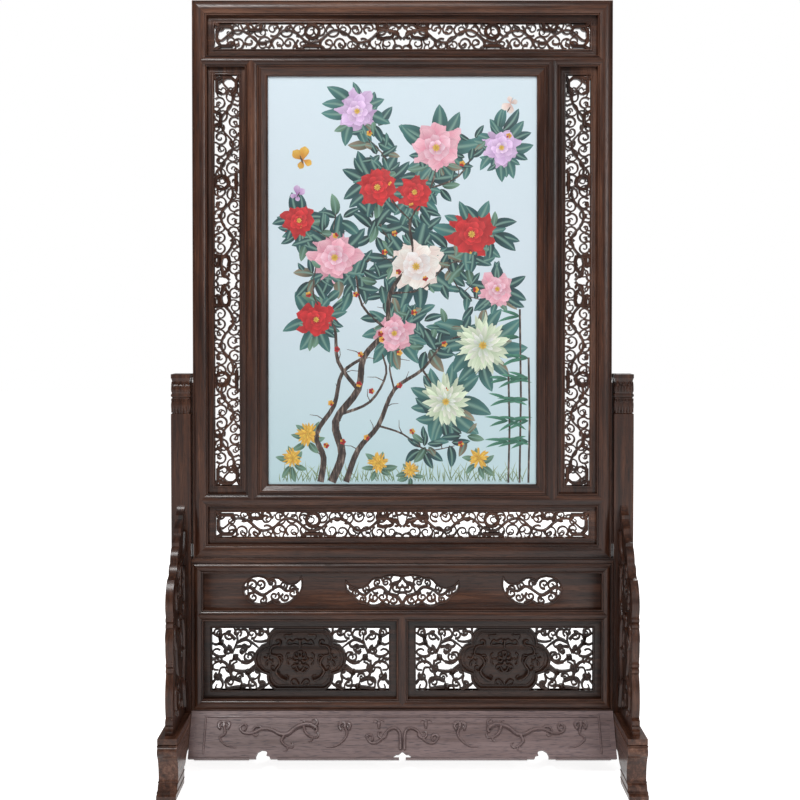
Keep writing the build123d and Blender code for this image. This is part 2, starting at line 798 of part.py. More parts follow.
# Posts with lotus capitals
def capital_profile(half, z_low):
    """Front or side view of a post: half its width, from its foot to the lotus capital on top."""
    base = POST_TOP - CAPITAL_HEIGHT
    with BuildSketch() as view:
        with BuildLine():
            Polyline((0, z_low), (half, z_low), (half, base + 4), (half - 3, base + 6))
            ThreePointArc((half - 3, base + 6), (half - 0.2, base + 26), (half - 3, base + 44))
            Polyline(
                (half - 3, base + 44),
                (half - 1.5, base + 46),
                (half, base + 48),
                (half, base + 52),
                (half - 1.5, base + 54),
                (half - 2, base + 56),
            )
            ThreePointArc((half - 2, base + 56), (half - 0.4, base + 64), (half - 2.8, base + 76))
            Polyline(
                (half - 2.8, base + 76),
                (half - 3, base + 84),
                (half - 1, base + 91),
                (half, base + 93),
                (half, POST_TOP),
                (0, POST_TOP),
            )
            mirror(about=Plane.YZ)
        make_face()
    return view.sketch


def spandrel_tongue(grow, mode=Mode.ADD):
    """The tongue that carries a right front spandrel in its post, or its slot, larger by grow."""
    z_low = FOOT_HEIGHT + 30 - grow
    z_high = SPANDREL_TOP - 90 + grow
    reach = SPANDREL_TONGUE + grow
    with Locations((post_centre, -post_face + (reach - 1) / 2, (z_low + z_high) / 2)):
        Box(SPANDREL_TONGUE_THICK + 2 * grow, reach + 1, z_high - z_low, mode=mode)


with BuildPart() as spandrel_slot:
    spandrel_tongue(JOINT_GAP)

with BuildPart() as post_right:
    with BuildSketch(Plane.XZ):
        with Locations((post_centre, 0)):
            add(capital_profile(POST_WIDTH / 2, FOOT_HEIGHT))
    extrude(amount=POST_DEPTH, both=True)
    with BuildSketch(Plane.YZ.offset(post_centre)):
        add(capital_profile(POST_DEPTH / 2, FOOT_HEIGHT))
    extrude(amount=POST_WIDTH, both=True, mode=Mode.INTERSECT)
    with Locations((post_centre, 0, FOOT_HEIGHT - POST_TENON_LENGTH / 2 + 0.5)):
        Box(POST_TENON_WIDTH, POST_TENON_DEPTH, POST_TENON_LENGTH + 1)
    track_floor = POST_INNER + TRACK_DEPTH
    block(
        POST_INNER - 1,
        track_floor,
        TONGUE_THICK + 2 * TRACK_SIDE_GAP,
        stand_top,
        POST_TOP + 1,
        mode=Mode.SUBTRACT,
    )
    for inner_z, upward in ((ledge_bottom - STAND_RAIL, 1), (lower_bay_z, -1)):
        x_low, x_high, z_low, z_high = corner_tenon(
            POST_INNER, inner_z, upward, STAND_RAIL, stand_rail_reach
        )
        mortise(x_low, x_high, z_low, z_high)
    add(spandrel_slot.part, mode=Mode.SUBTRACT)
    add(back_of(spandrel_slot.part), mode=Mode.SUBTRACT)
save(post_right.part, "post_right")
save(mirrored(post_right.part), "post_left")


# Feet
def apron_tenon(grow):
    """Side view of the front apron's tenon, or of its mortise, larger by grow."""
    run = APRON_BOTTOM_OUT - APRON_TOP_OUT
    slope = complex(-run, -APRON_DROP) / abs(complex(run, APRON_DROP))
    inward = slope * 1j
    top = complex(-APRON_TOP_OUT, STAND_FRAME_BASE)
    start = APRON_TENON_INSET - grow
    end = abs(complex(run, APRON_DROP)) - APRON_TENON_INSET + grow
    near = 3.0 - grow
    far = APRON_THICK - 3.0 + grow
    corners = [(start, near), (end, near), (end, far), (start, far)]
    places = [top + slope * along + inward * depth for along, depth in corners]
    return [(place.real, place.imag) for place in places]


with BuildPart() as foot_right:
    with BuildSketch(Plane.YZ.offset(post_centre - FOOT_THICK / 2)):
        with BuildLine():
            Polyline(
                (0, FOOT_HEIGHT),
                (FOOT_REACH, FOOT_HEIGHT),
                (FOOT_REACH, FOOT_HEIGHT - 13),
                (FOOT_REACH - 4, FOOT_HEIGHT - 13),
                (FOOT_REACH - 4, FOOT_HEIGHT - 17),
            )
            ThreePointArc(
                (FOOT_REACH - 4, FOOT_HEIGHT - 17), (FOOT_REACH + 3, 109), (FOOT_REACH - 3, 94)
            )
            ThreePointArc((FOOT_REACH - 3, 94), (FOOT_WAIST + 3, 68), (FOOT_WAIST, 37))
            Polyline((FOOT_WAIST, 37), (FOOT_WAIST + 2, 31), (FOOT_WAIST + 9, 28), (FOOT_WAIST + 10, 24))
            Polyline(
                (FOOT_WAIST + 10, 24),
                (FOOT_WAIST + 14, 15),
                (FOOT_TOE - 4, 11),
                (FOOT_TOE, 9),
                (FOOT_TOE, 0),
                (FOOT_PAD_INNER, 0),
                (FOOT_PAD_INNER, FOOT_PAD_HEIGHT),
                (98, 40),
                (88, 49),
            )
            ThreePointArc((88, 49), (72, 60), (52, 57))
            ThreePointArc((52, 57), (26, FOOT_ARCH - 3), (0, FOOT_ARCH))
            mirror(about=Plane.YZ)
        make_face()
    extrude(amount=FOOT_THICK)
    block(
        post_centre - POST_TENON_WIDTH / 2 - JOINT_GAP,
        post_centre + POST_TENON_WIDTH / 2 + JOINT_GAP,
        POST_TENON_DEPTH + 2 * JOINT_GAP,
        FOOT_HEIGHT - POST_TENON_LENGTH - JOINT_GAP,
        FOOT_HEIGHT + 1,
        mode=Mode.SUBTRACT,
    )
    foot_inner = post_centre - FOOT_THICK / 2
    with BuildSketch(Plane.YZ.offset(foot_inner - 1)):
        Polygon(*apron_tenon(JOINT_GAP), align=None)
        mirror(about=Plane.YZ)
    extrude(amount=APRON_TENON + 1 + JOINT_GAP, mode=Mode.SUBTRACT)
save(foot_right.part, "foot_right")
save(mirrored(foot_right.part), "foot_left")

# Spandrels: the outline steps down from the post in scallops, beads and long bulges
def edge_point(out, up):
    """A point of a spandrel's edge: out from the post, up from the foot, in hundredths of its size."""
    reach = SPANDREL_REACH - post_face
    return -post_face - reach * out / 100, FOOT_HEIGHT + (SPANDREL_TOP - FOOT_HEIGHT) * up / 100


def edge_arc(*points):
    """An arc of a spandrel's edge through three such points."""
    ThreePointArc(*[edge_point(*point) for point in points])


def edge_run(*points):
    """Straight runs of a spandrel's edge from point to point."""
    Polyline(*[edge_point(*point) for point in points])


def edge_beads(high):
    """Two small beads, one below the other, on a spandrel's edge."""
    for top in (high, high - 2.7):
        edge_run((91, top), (93.5, top - 0.8), (93.5, top - 1.9), (91, top - 2.7))


with BuildPart() as spandrel_front_right:
    with BuildSketch(Plane.YZ.offset(post_centre - SPANDREL_THICK / 2)):
        with BuildLine():
            edge_run((0, 0), (0, 100))
            edge_arc((0, 100), (5.2, 97.3), (12.9, 95.7))
            edge_run((12.9, 95.7), (12.9, 94))
            edge_arc((12.9, 94), (20, 91.9), (28.4, 90.3))
            edge_run((28.4, 90.3), (29, 88))
            edge_arc((29, 88), (36.8, 85.7), (45.2, 84.5))
            edge_run((45.2, 84.5), (45.2, 82.9))
            edge_arc((45.2, 82.9), (54.8, 79.8), (58.1, 76.2))
            edge_arc((58.1, 76.2), (66.5, 71.7), (80.6, 69.6))
            edge_arc((80.6, 69.6), (92.3, 63.6), (94.8, 56.8))
            edge_run((94.8, 56.8), (91, 53.3))
            edge_beads(53.3)
            edge_arc((91, 47.9), (95.5, 40.3), (91, 32.7))
            edge_beads(32.7)
            edge_arc((91, 27.3), (98.1, 17.4), (94.2, 7.4))
            edge_run((94.2, 7.4), (98.7, 6.6), (98.7, 4.7), (96.1, 3.9), (96.1, 2.7))
            edge_run((96.1, 2.7), (100, 1.9), (100, 0), (0, 0))
        make_face()
    extrude(amount=SPANDREL_THICK)
    spandrel_tongue(0)
save(spandrel_front_right.part, "spandrel_front_right")
save(mirrored(spandrel_front_right.part), "spandrel_front_left")
save(back_of(spandrel_front_right.part), "spandrel_back_right")
save(back_of(mirrored(spandrel_front_right.part)), "spandrel_back_left")

# Apron boards lean outwards from under the stand's bottom rail
apron_run = APRON_BOTTOM_OUT - APRON_TOP_OUT
apron_length = math.hypot(apron_run, APRON_DROP)
apron_half_width = POST_INNER - JOINT_GAP
apron_plane = Plane(
    origin=(0, -APRON_TOP_OUT, STAND_FRAME_BASE),
    x_dir=(1, 0, 0),
    z_dir=(0, -APRON_DROP, apron_run),
)
with BuildPart() as apron_front:
    with BuildSketch(apron_plane):
        with BuildLine():
            Polyline(
                (0, 20),
                (apron_half_width, 20),
                (apron_half_width, -apron_length),
                *[(APRON_NOTCH_PLACE + x, z - apron_length) for x, z in CLOUD_HOOK],
                *[(x, z - apron_length) for x, z in CENTRE_OGEE],
            )
            mirror(about=Plane.YZ)
        make_face()
    extrude(amount=-APRON_THICK)
    with BuildSketch(apron_plane):
        with Locations((0, -apron_length / 2 - 2)):
            Rectangle(2 * apron_half_width - 24, apron_length - 56)
    extrude(amount=-1.0, mode=Mode.SUBTRACT)
    with Locations((0, 0, STAND_FRAME_BASE + 50)):
        Box(2 * POST_INNER + 40, 400, 100, mode=Mode.SUBTRACT)
    for side in (-1, 1):
        with BuildSketch(Plane.YZ.offset(side * (apron_half_width - 1))):
            Polygon(*apron_tenon(0), align=None)
        extrude(amount=side * (APRON_TENON + foot_inner - apron_half_width + 1))
save(apron_front.part, "apron_front")
save(back_of(apron_front.part), "apron_back")
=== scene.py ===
import bpy
import bmesh
import cmath
import math
import random
from mathutils import Matrix, Vector


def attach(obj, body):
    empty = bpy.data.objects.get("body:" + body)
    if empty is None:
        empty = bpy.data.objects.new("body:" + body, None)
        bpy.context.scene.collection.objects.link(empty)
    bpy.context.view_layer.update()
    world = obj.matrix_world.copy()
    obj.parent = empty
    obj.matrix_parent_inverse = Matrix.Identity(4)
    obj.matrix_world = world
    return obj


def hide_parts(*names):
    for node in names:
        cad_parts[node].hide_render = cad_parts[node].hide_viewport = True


# An embroidered silk screen in dark hardwood, standing in its own stand.
# Carvings are drawn flat in millimetres, front up, and then stood on the object.

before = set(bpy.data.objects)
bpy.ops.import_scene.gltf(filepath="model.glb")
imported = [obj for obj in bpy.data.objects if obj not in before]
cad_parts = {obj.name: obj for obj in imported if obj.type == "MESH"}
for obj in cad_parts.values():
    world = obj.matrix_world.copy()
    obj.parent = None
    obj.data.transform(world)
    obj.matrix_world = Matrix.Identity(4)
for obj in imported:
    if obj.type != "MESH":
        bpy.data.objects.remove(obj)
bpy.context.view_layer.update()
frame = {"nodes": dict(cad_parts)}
MM = 0.001
SIDES = (("left", -1), ("right", 1))
scene = bpy.context.scene
nodes = frame["nodes"]


# Finishes
class Tone:
    """A socket of a node; arithmetic on it adds Math nodes."""

    def __init__(self, nodes, socket):
        self.nodes = nodes
        self.socket = socket

    def math(self, operation, *values):
        return self.nodes.node("ShaderNodeMath", {"operation": operation}, dict(enumerate(values)))

    def __add__(self, other):
        return self.math("ADD", self, other)

    __radd__ = __add__

    def __mul__(self, other):
        return self.math("MULTIPLY", self, other)

    def __rsub__(self, other):
        return self.math("SUBTRACT", other, self)

    def ramp(self, low, high):
        """0 below low, 1 above high, even between them."""
        sockets = {"Value": self, "From Min": low, "From Max": high}
        return self.nodes.node("ShaderNodeMapRange", {"clamp": True}, sockets)


class Nodes:
    """A tree of nodes, with one method for any node that isn't maths."""

    def __init__(self, tree):
        self.tree = tree

    def node(self, kind, settings=None, sockets=None, out=0):
        made = self.tree.nodes.new(kind)
        for name, value in (settings or {}).items():
            if name == "stops":
                stops = made.color_ramp.elements
                while len(stops) < len(value):
                    stops.new(0.5)
                for stop, (place, colour) in zip(stops, value):
                    stop.position = place
                    stop.color = (*colour, 1)
            else:
                setattr(made, name, value)
        for key, value in (sockets or {}).items():
            if isinstance(value, Tone):
                self.tree.links.new(value.socket, made.inputs[key])
            else:
                made.inputs[key].default_value = value
        return Tone(self, made.outputs[out])

    def any_ray(self, *kinds):
        """1 for a ray of one of these kinds, 0 for any other."""
        rays = self.node("ShaderNodeLightPath").socket.node.outputs
        seen, *others = [Tone(self, rays[f"Is {kind} Ray"]) for kind in kinds]
        for other in others:
            seen = seen.math("MAXIMUM", seen, other)
        return seen


class Finish(Nodes):
    """A procedural finish: its material and its shader."""

    def __init__(self, name, **constants):
        self.material = bpy.data.materials.new(name)
        self.material.use_nodes = True
        super().__init__(self.material.node_tree)
        self.shader = self.tree.nodes["Principled BSDF"]
        for socket, value in constants.items():
            self.shader.inputs[socket.replace("_", " ")].default_value = value

    def feed(self, socket, tone):
        self.tree.links.new(tone.socket, self.shader.inputs[socket])

    def place(self, scale=(1, 1, 1), source="Object"):
        """Coordinates of the piece, stretched by a Mapping node."""
        where = self.node("ShaderNodeTexCoord", out=source)
        return self.node("ShaderNodeMapping", sockets={"Vector": where, "Scale": scale})

    def noise(self, where, scale, detail=3.0, roughness=0.5, distortion=0.0):
        sockets = {"Vector": where, "Scale": scale, "Detail": detail, "Roughness": roughness,
                   "Distortion": distortion}
        return self.node("ShaderNodeTexNoise", None, sockets)

    def blend(self, first, second, share):
        """Mixes two colours by a share between 0 and 1."""
        settings = {"data_type": "RGBA", "clamp_factor": True}
        sockets = {0: share, 6: first, 7: second}
        return self.node("ShaderNodeMix", settings, sockets, out=2)

    def bump(self, height, strength, distance):
        sockets = {"Height": height, "Strength": strength, "Distance": distance}
        self.feed("Normal", self.node("ShaderNodeBump", None, sockets))


LONG_GRAIN = 0.045
EVEN_TONE = 0.51


def hardwood(name, along, light=1.0, warmth=1.0, polish=0.26, calm=0.12):
    """Dark close-grained hardwood whose grain runs along one axis; calm evens its figure."""
    wood = Finish(name, Specular_IOR_Level=0.28, Coat_Roughness=0.18, Coat_Weight=0.20)
    stretch = [1.0, 1.0, 1.0]
    stretch["XYZ".index(along)] = LONG_GRAIN
    where = wood.place(tuple(stretch))
    figure = wood.noise(where, 14, 3, 0.55, 0.6)
    streak = wood.noise(where, 95, 4, 0.62, 0.25)
    fibre = wood.noise(where, 420, 3, 0.6)
    pore = wood.noise(where, 900, 1, 0.4).ramp(0.33, 0.42)
    cloud = wood.noise(wood.place(), 5, 2)
    mixed = figure * 0.34 + streak * 0.42 + fibre * 0.14 + cloud * 0.10
    mixed = mixed * (1 - calm) + EVEN_TONE * calm

    def tint(red, green, blue):
        return (red * light * warmth, green * light, blue * light / warmth)

    stops = [
        (0.38, tint(0.009, 0.0030, 0.0015)),
        (0.47, tint(0.040, 0.0140, 0.0072)),
        (0.54, tint(0.086, 0.0345, 0.0190)),
        (0.64, tint(0.190, 0.0900, 0.0560)),
    ]
    body = wood.node("ShaderNodeValToRGB", {"stops": stops}, {"Fac": mixed})
    dark = tint(0.012, 0.0068, 0.0052)
    coloured = wood.blend((*dark, 1), body, pore * 0.72 + 0.28)
    wood.feed("Base Color", coloured)
    wood.feed("Roughness", polish + (1 - pore) * 0.22 + streak * 0.14)
    wood.bump(pore * 0.6 + fibre * 0.4, 0.35, 0.0004)
    return wood.material


upright = hardwood("hardwood_upright_grain", "Z", light=0.74, warmth=1.12)
level = hardwood("hardwood_level_grain", "X", light=0.70, warmth=1.10)
# The feet's copy is more than twice as light as the rest: the wood's colour with painted light added for the
# highlight the feet catch at the front.
foot_painted_light_wood = hardwood("hardwood_depth_grain_painted_light", "Y", light=1.7, warmth=0.92)
carved = hardwood("hardwood_carved", "X", light=0.80, warmth=1.08, polish=0.28)
panel_wood = hardwood("hardwood_carved_panel", "X", light=0.40, warmth=1.02)
carved_upright = hardwood("hardwood_carved_upright", "Z", light=0.80, warmth=1.08, polish=0.28)
# The apron's copy is far lighter and greyer than the rest: painted sheen standing in for the light the sloping
# aprons catch from above.
apron_painted_sheen_wood = hardwood("hardwood_apron_painted_sheen", "X", light=5.6, warmth=0.56, polish=0.32, calm=0.75)

LEVEL_NODES = ("rail", "_top", "_bottom", "ledge", "cloud_board", "lower_fret")
for name, node in nodes.items():
    # Aprons take the copy with the painted sheen.
    if name.startswith("apron"):
        wood = apron_painted_sheen_wood
    # Feet take the copy with the painted light.
    elif name.startswith("foot"):
        wood = foot_painted_light_wood
    elif any(word in name for word in LEVEL_NODES):
        wood = level
    else:
        wood = upright
    node.data.materials.clear()
    node.data.materials.append(wood)


# Making pieces
def flat_curve(outlines, closed, widths=None):
    """A flat curve of straight-pointed splines, in millimetres."""
    curve = bpy.data.curves.new("drawing", "CURVE")
    curve.dimensions = "2D"
    for number, outline in enumerate(outlines):
        spline = curve.splines.new("POLY")
        spline.points.add(len(outline) - 1)
        spline.use_cyclic_u = closed
        for index, (point, (x, y)) in enumerate(zip(spline.points, outline)):
            point.co = (x * MM, y * MM, 0, 1)
            if widths:
                point.radius = widths[number][index]
    return curve


def as_bmesh(curve):
    """The mesh of a curve as a merged bmesh whose faces point outwards."""
    holder = bpy.data.objects.new("drawing", curve)
    scene.collection.objects.link(holder)
    evaluated = holder.evaluated_get(bpy.context.evaluated_depsgraph_get())
    mesh = bpy.data.meshes.new_from_object(evaluated)
    bpy.data.objects.remove(holder)
    work = bmesh.new()
    work.from_mesh(mesh)
    bpy.data.meshes.remove(mesh)
    bmesh.ops.remove_doubles(work, verts=work.verts, dist=1e-6)
    bmesh.ops.recalc_face_normals(work, faces=work.faces)
    return work


def sawn(outlines, thick, edge=0.5):
    """A board cut to outlines; those inside the first one are its openings."""
    curve = flat_curve(outlines, True)
    curve.fill_mode = "BOTH"
    curve.extrude = (thick / 2 - edge) * MM
    curve.bevel_depth = edge * MM
    curve.bevel_resolution = 1
    curve.offset = -edge * MM
    return as_bmesh(curve)


def two_faced(upper):
    """A closed section that is the same on both faces, from its upper outline."""
    lower = [(x, -y) for x, y in upper]
    return lower[:1] + upper + lower[:0:-1]


SECTIONS = {
    "vine": two_faced([(-1, 5.4), (-0.5, 6.3), (0.5, 6.3), (1, 5.4)]),
    "ribbon": two_faced([(-1, 6.0), (-0.85, 6.6), (-0.55, 6.6), (-0.3, 5.6),
                         (0.3, 5.6), (0.55, 6.6), (0.85, 6.6), (1, 6.0)]),
    "relief": [(-1, -1.2), (-0.8, 0.5), (-0.3, 1.0), (0.3, 1.0), (0.8, 0.5), (1, -1.2)],
}


def carve(strands, section, half_width, depth=1.0):
    """Carved strands of one section; each strand is its points with their share of the width."""
    profile = flat_curve([[(x * half_width, y * depth) for x, y in SECTIONS[section]]], True)
    holder = bpy.data.objects.new("section", profile)
    scene.collection.objects.link(holder)
    curve = flat_curve([[(x, y) for x, y, _ in strand] for strand in strands], False,
                       [[width for _, _, width in strand] for strand in strands])
    curve.fill_mode = "NONE"
    curve.bevel_mode = "OBJECT"
    curve.bevel_object = holder
    curve.use_fill_caps = True
    work = as_bmesh(curve)
    bpy.data.objects.remove(holder)
    return work


def gather(parts):
    """Several bmeshes as one; they are freed."""
    whole = bmesh.new()
    for part in parts:
        mesh = bpy.data.meshes.new("part")
        part.to_mesh(mesh)
        part.free()
        whole.from_mesh(mesh)
        bpy.data.meshes.remove(mesh)
    return whole


def double_sided(work):
    """The work and its image on the other side of the drawing's plane."""
    other = work.copy()
    bmesh.ops.scale(other, vec=(1, 1, -1), verts=other.verts)
    bmesh.ops.reverse_faces(other, faces=other.faces)
    return [work, other]


CREASE = math.radians(40.0)


def set_up(work, matrix, name):
    """Places a drawing and turns it into a mesh with its creases kept sharp."""
    bmesh.ops.transform(work, matrix=matrix, verts=work.verts)
    if matrix.determinant() < 0:
        bmesh.ops.reverse_faces(work, faces=work.faces)
    for face in work.faces:
        face.smooth = True
    for edge in work.edges:
        if len(edge.link_faces) == 2 and edge.calc_face_angle(0) > CREASE:
            edge.smooth = False
    mesh = bpy.data.meshes.new(name)
    work.to_mesh(mesh)
    work.free()
    return mesh


def piece(name, parts, place, finish, body):
    """Gathers drawn parts, puts them in their place, and makes them a piece that rides on a body."""
    made = bpy.data.objects.new(name, set_up(gather(parts), place, name))
    scene.collection.objects.link(made)
    made.data.materials.append(finish)
    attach(made, body)
    return made


def standing(x, z, y=0.0, turned=0.0):
    """From a flat drawing to the front of the object, at a place in millimetres."""
    spun = Matrix.Rotation(math.radians(turned), 4, "Z")
    return Matrix.Translation(Vector((x, y, z)) * MM) @ Matrix.Rotation(math.radians(90), 4, "X") @ spun


def rectangle(width, height, grown=0.0):
    """Corners of a rectangle round the middle, grown by the same length both ways."""
    half_width, half_height = (width + grown) / 2, (height + grown) / 2
    return [(x * half_width, y * half_height) for x, y in ((-1, -1), (1, -1), (1, 1), (-1, 1))]


# Carved lines
def scroll(x, y, heading, bends, width=1.0, tip=0.55, step=24.0):
    """A line that turns through bends of (radius, degrees), left positive, narrowing to its tip."""
    place = complex(x, y)
    course = cmath.rect(1, math.radians(heading))
    points = [(x, y, width)]
    total = sum(abs(degrees) if radius else 1 for radius, degrees in bends)
    gone = 0.0
    for radius, degrees in bends:
        count = max(1, round(abs(degrees) / step))
        turn = cmath.rect(1, math.radians(degrees) / count)
        toward = 1j * math.copysign(radius, degrees)
        for _ in range(count):
            centre = place + course * toward
            place = centre + (place - centre) * turn
            course *= turn
            gone += abs(degrees) / count
            points.append((place.real, place.imag, width + (tip - width) * gone / total))
    return points


def curl(x, y, radius, start, turn, width=1.0):
    """A round scroll about a centre: from an angle, three quarters round, then winding in to its eye."""
    side = math.copysign(1, turn)
    out = math.radians(start)
    heading = start + 90 * side
    edge = (x + radius * math.cos(out), y + radius * math.sin(out))
    bends = [(radius, turn), (radius * 0.62, side * 150), (radius * 0.34, side * 130)]
    return scroll(*edge, heading, bends, width, 0.6)


def scrolls(rows):
    return [scroll(*row) for row in rows]


def smooth_line(points, width=1.0, tip=0.6, steps=4):
    """A smooth line through a few points, narrowing to its tip."""
    ends = [points[0]] + list(points) + [points[-1]]
    line = []
    spans = len(points) - 1
    for span in range(spans):
        p0, p1, p2, p3 = [complex(*ends[span + offset]) for offset in range(4)]
        for step in range(steps):
            t = step / steps
            place = 0.5 * (2 * p1 + (p2 - p0) * t + (2 * p0 - 5 * p1 + 4 * p2 - p3) * t * t
                           + (3 * p1 - p0 - 3 * p2 + p3) * t ** 3)
            share = (span + t) / spans
            line.append((place.real, place.imag, width + (tip - width) * share))
    line.append((*points[-1], tip))
    return line


def both_halves(strands):
    """Strands with their mirror images."""
    return strands + [[(-x, y, width) for x, y, width in strand] for strand in strands]


def moved(strands, along):
    return [[(x + along, y, width) for x, y, width in strand] for strand in strands]


def straight(*corners, width=1.0):
    """A line with square corners."""
    return [(x, y, width) for x, y in corners]


# Fretwork bands round the picture
BOARD = 12.0
TONGUE = 15.0
LIP = 17.0
LIP_EDGE = 1.5
LIP_GROWN = 8.0
BEAD = 13.2
BEAD_GROWN = (19.0, 15.0)


def lipped_board(board, window):
    """A board with its tongues, and the raised lip round its window; sizes as (width, height)."""
    opening = rectangle(*window)
    return [
        sawn([rectangle(*board, TONGUE), opening], BOARD),
        sawn([rectangle(*window, LIP_GROWN), opening], LIP, LIP_EDGE),
    ]


def band_half(length, height, seed):
    """Carved lines of one half of a band, from its middle (x=0) to its end; two lists by width."""
    rng = random.Random(seed)
    top = height / 2 + 1.0
    foot = -top + 9
    ring_x = length * 0.48
    hung = length * 0.79
    ribbons = [
        # square hook with a ruyi curl beside the middle
        straight((60, top), (60, -3), (48, -6), (36, -3)),
        scroll(60, 20, 180, [(400, -2), (9, -200), (5, -120)], 1.0, 0.7),
        scroll(36, -3, 200, [(10, -150), (6, -120)], 1.0, 0.7),
        scroll(24, 10, 140, [(9, 170), (5, 100)], 0.9, 0.6),
        # ring, and the bar below it
        scroll(ring_x + 17, 12, 90, [(17, 360)], 1.0, 1.0, 30),
        straight((ring_x - 22, foot), (ring_x + 22, foot)),
        # trapezoid bracket
        straight((hung - 19, top), (hung - 15, top - 17), (hung + 10, top - 17), (hung + 19, top)),
        # eight-sided bracket at the end, and its ties to the corners
        straight((length - 46, 12), (length - 40, 24), (length - 12, 24), (length - 6, 12),
                 (length - 6, -12), (length - 16, -24), (length - 40, -24), (length - 48, -14)),
        straight((length - 12, 24), (length + 2, top + 2)),
        straight((length - 16, -24), (length + 2, -top - 1)),
    ]
    vines = scrolls([
        # inside the ring, and at both ends of its bar
        (ring_x + 15, 12, -90, [(9, -190), (5, -120)], 0.9, 0.5),
        (ring_x - 22, foot, 180, [(8, 160), (4, 120)], 0.9, 0.5),
        (ring_x + 22, foot, 0, [(8, -160), (4, -120)], 0.9, 0.5),
        # inside the end bracket
        (length - 48, -14, 110, [(9, -200), (4, -120)], 1.0, 0.5),
        (length - 46, 12, -110, [(8, 190), (4, 120)], 1.0, 0.5),
        (length - 30, -24, 90, [(11, 200), (5, 140)], 1.1, 0.6),
        (length - 22, 24, -90, [(10, 200), (5, 140)], 1.1, 0.6),
        # beside the middle
        (0, top, -90, [(9, 150), (4, 150)], 1.1, 0.6),
        (0, -top, 90, [(10, -160), (5, -150)], 1.1, 0.6),
    ])
    vines.append(straight((0, 4), (0, -top)))
    # the waving main stem
    waves = max(3, round(length / 66))
    reach = height * 0.27
    stem = [(2, -6)]
    for quarter in range(waves * 2 + 1):
        along = 22 + (length - 40) * quarter / (waves * 2)
        stem.append((along, reach * math.sin(math.pi * quarter / 2 + 0.6)))
    vines.append(smooth_line(stem + [(length - 6, -4)], 1.35, 1.1))
    # curls packed along both sides of it, and the sprigs between them
    for row in (1, -1):
        x = 10.0 if row > 0 else 18.0
        while x < length - 14:
            radius = rng.uniform(11.5, 15.5) * height / 62
            middle = x + radius
            if (row > 0 and abs(middle - ring_x) < 17) or middle > length - 48:
                x = middle
                continue
            level_y = row * (height / 2 - radius * rng.uniform(0.98, 1.12))
            turn = rng.choice((-1, 1))
            start = rng.choice((90 * row, 90 * row + 40 * turn, -60 * row))
            vines.append(curl(middle, level_y, radius, start, turn * rng.uniform(190, 260)))
            heading = rng.uniform(30, 150) * row
            sprig = [(rng.uniform(9, 14), 90 * turn), (4, 150 * turn)]
            vines.append(scroll(x + radius * 2, level_y, heading, sprig, 0.9, 0.45))
            hanging = [(11, -70 * turn), (4.5, -160 * turn)]
            vines.append(scroll(x + radius * 0.3, row * top, -90 * row + 20 * turn, hanging, 0.9, 0.45))
            x += radius * 2 + rng.uniform(1.0, 5.0)
    inside = []
    for strand in vines:
        kept = [(x, max(-top, min(top, y)), width) for x, y, width in strand if -2 <= x <= length + 2]
        if len(kept) > 2:
            inside.append(kept)
    return inside, ribbons


def band(side, finish, window, bay, centre, seed, turned=0.0):
    """One fretwork band: a board with a lipped window full of carved scrolls."""
    length, height = window
    vines, ribbons = band_half(length / 2, height, seed)
    parts = lipped_board(bay, window) + [
        sawn([rectangle(*window, grown) for grown in BEAD_GROWN], BEAD),
        carve(both_halves(vines), "vine", half_width=2.2),
        carve(both_halves(ribbons), "ribbon", half_width=3.8, depth=1.3),
    ]
    made = piece(f"{side}_fretwork", parts, standing(*centre, turned=turned), finish, "screen")
    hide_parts(f"fret_{side}")


BAY_HALF = 482.0
END_MARGIN = 18.0
# each bay: where it starts, its size, and the board left round the window
TOP_BAY = (1762.3, 99.0, 18.0)
BOTTOM_BAY = (554.3, 94.0, 15.5)
SIDE_BAY = (388.0, 94.0, 16.0)
PICTURE_BAY = (680.3, 1055.0, 19.0)
SIDE_SEED = 5
for name, (low, high, margin), seed in (("top", TOP_BAY, 3), ("bottom", BOTTOM_BAY, 8)):
    window = (2 * (BAY_HALF - END_MARGIN), high - 2 * margin)
    band(name, carved, window, (2 * BAY_HALF, high), (0, low + high / 2), seed)
for name, side in SIDES:
    near, wide, margin = SIDE_BAY
    low, high, end = PICTURE_BAY
    window = (high - 2 * end, wide - 2 * margin)
    centre = (side * (near + wide / 2), low + high / 2)
    band(name, carved_upright, window, (high, wide), centre, SIDE_SEED, turned=-90.0 * side)


# Lower panels: scrolls either side of a lobed cartouche
ARC_STEPS = 6


def arc(first, middle, last):
    """Points of the arc through three points, without its last one."""
    a, b, c = complex(*first), complex(*middle), complex(*last)
    ratio = (c - a) / (b - a)
    centre = (a - b) * (ratio - abs(ratio) ** 2) / 2j / ratio.imag - a
    spin = cmath.phase((c + centre) / (a + centre))
    if cmath.phase((b + centre) / (a + centre)) * spin < 0:
        spin -= math.copysign(2 * math.pi, spin)
    turns = [spin * step / ARC_STEPS for step in range(ARC_STEPS)]
    places = [-centre + (a + centre) * cmath.rect(1, turn) for turn in turns]
    return [(place.real, place.imag) for place in places]


def arcs(corners):
    """A run of three-point arcs, each starting where the last one ended."""
    line = []
    for index in range(0, len(corners) - 2, 2):
        line += arc(*corners[index:index + 3])
    return line + [corners[-1]]


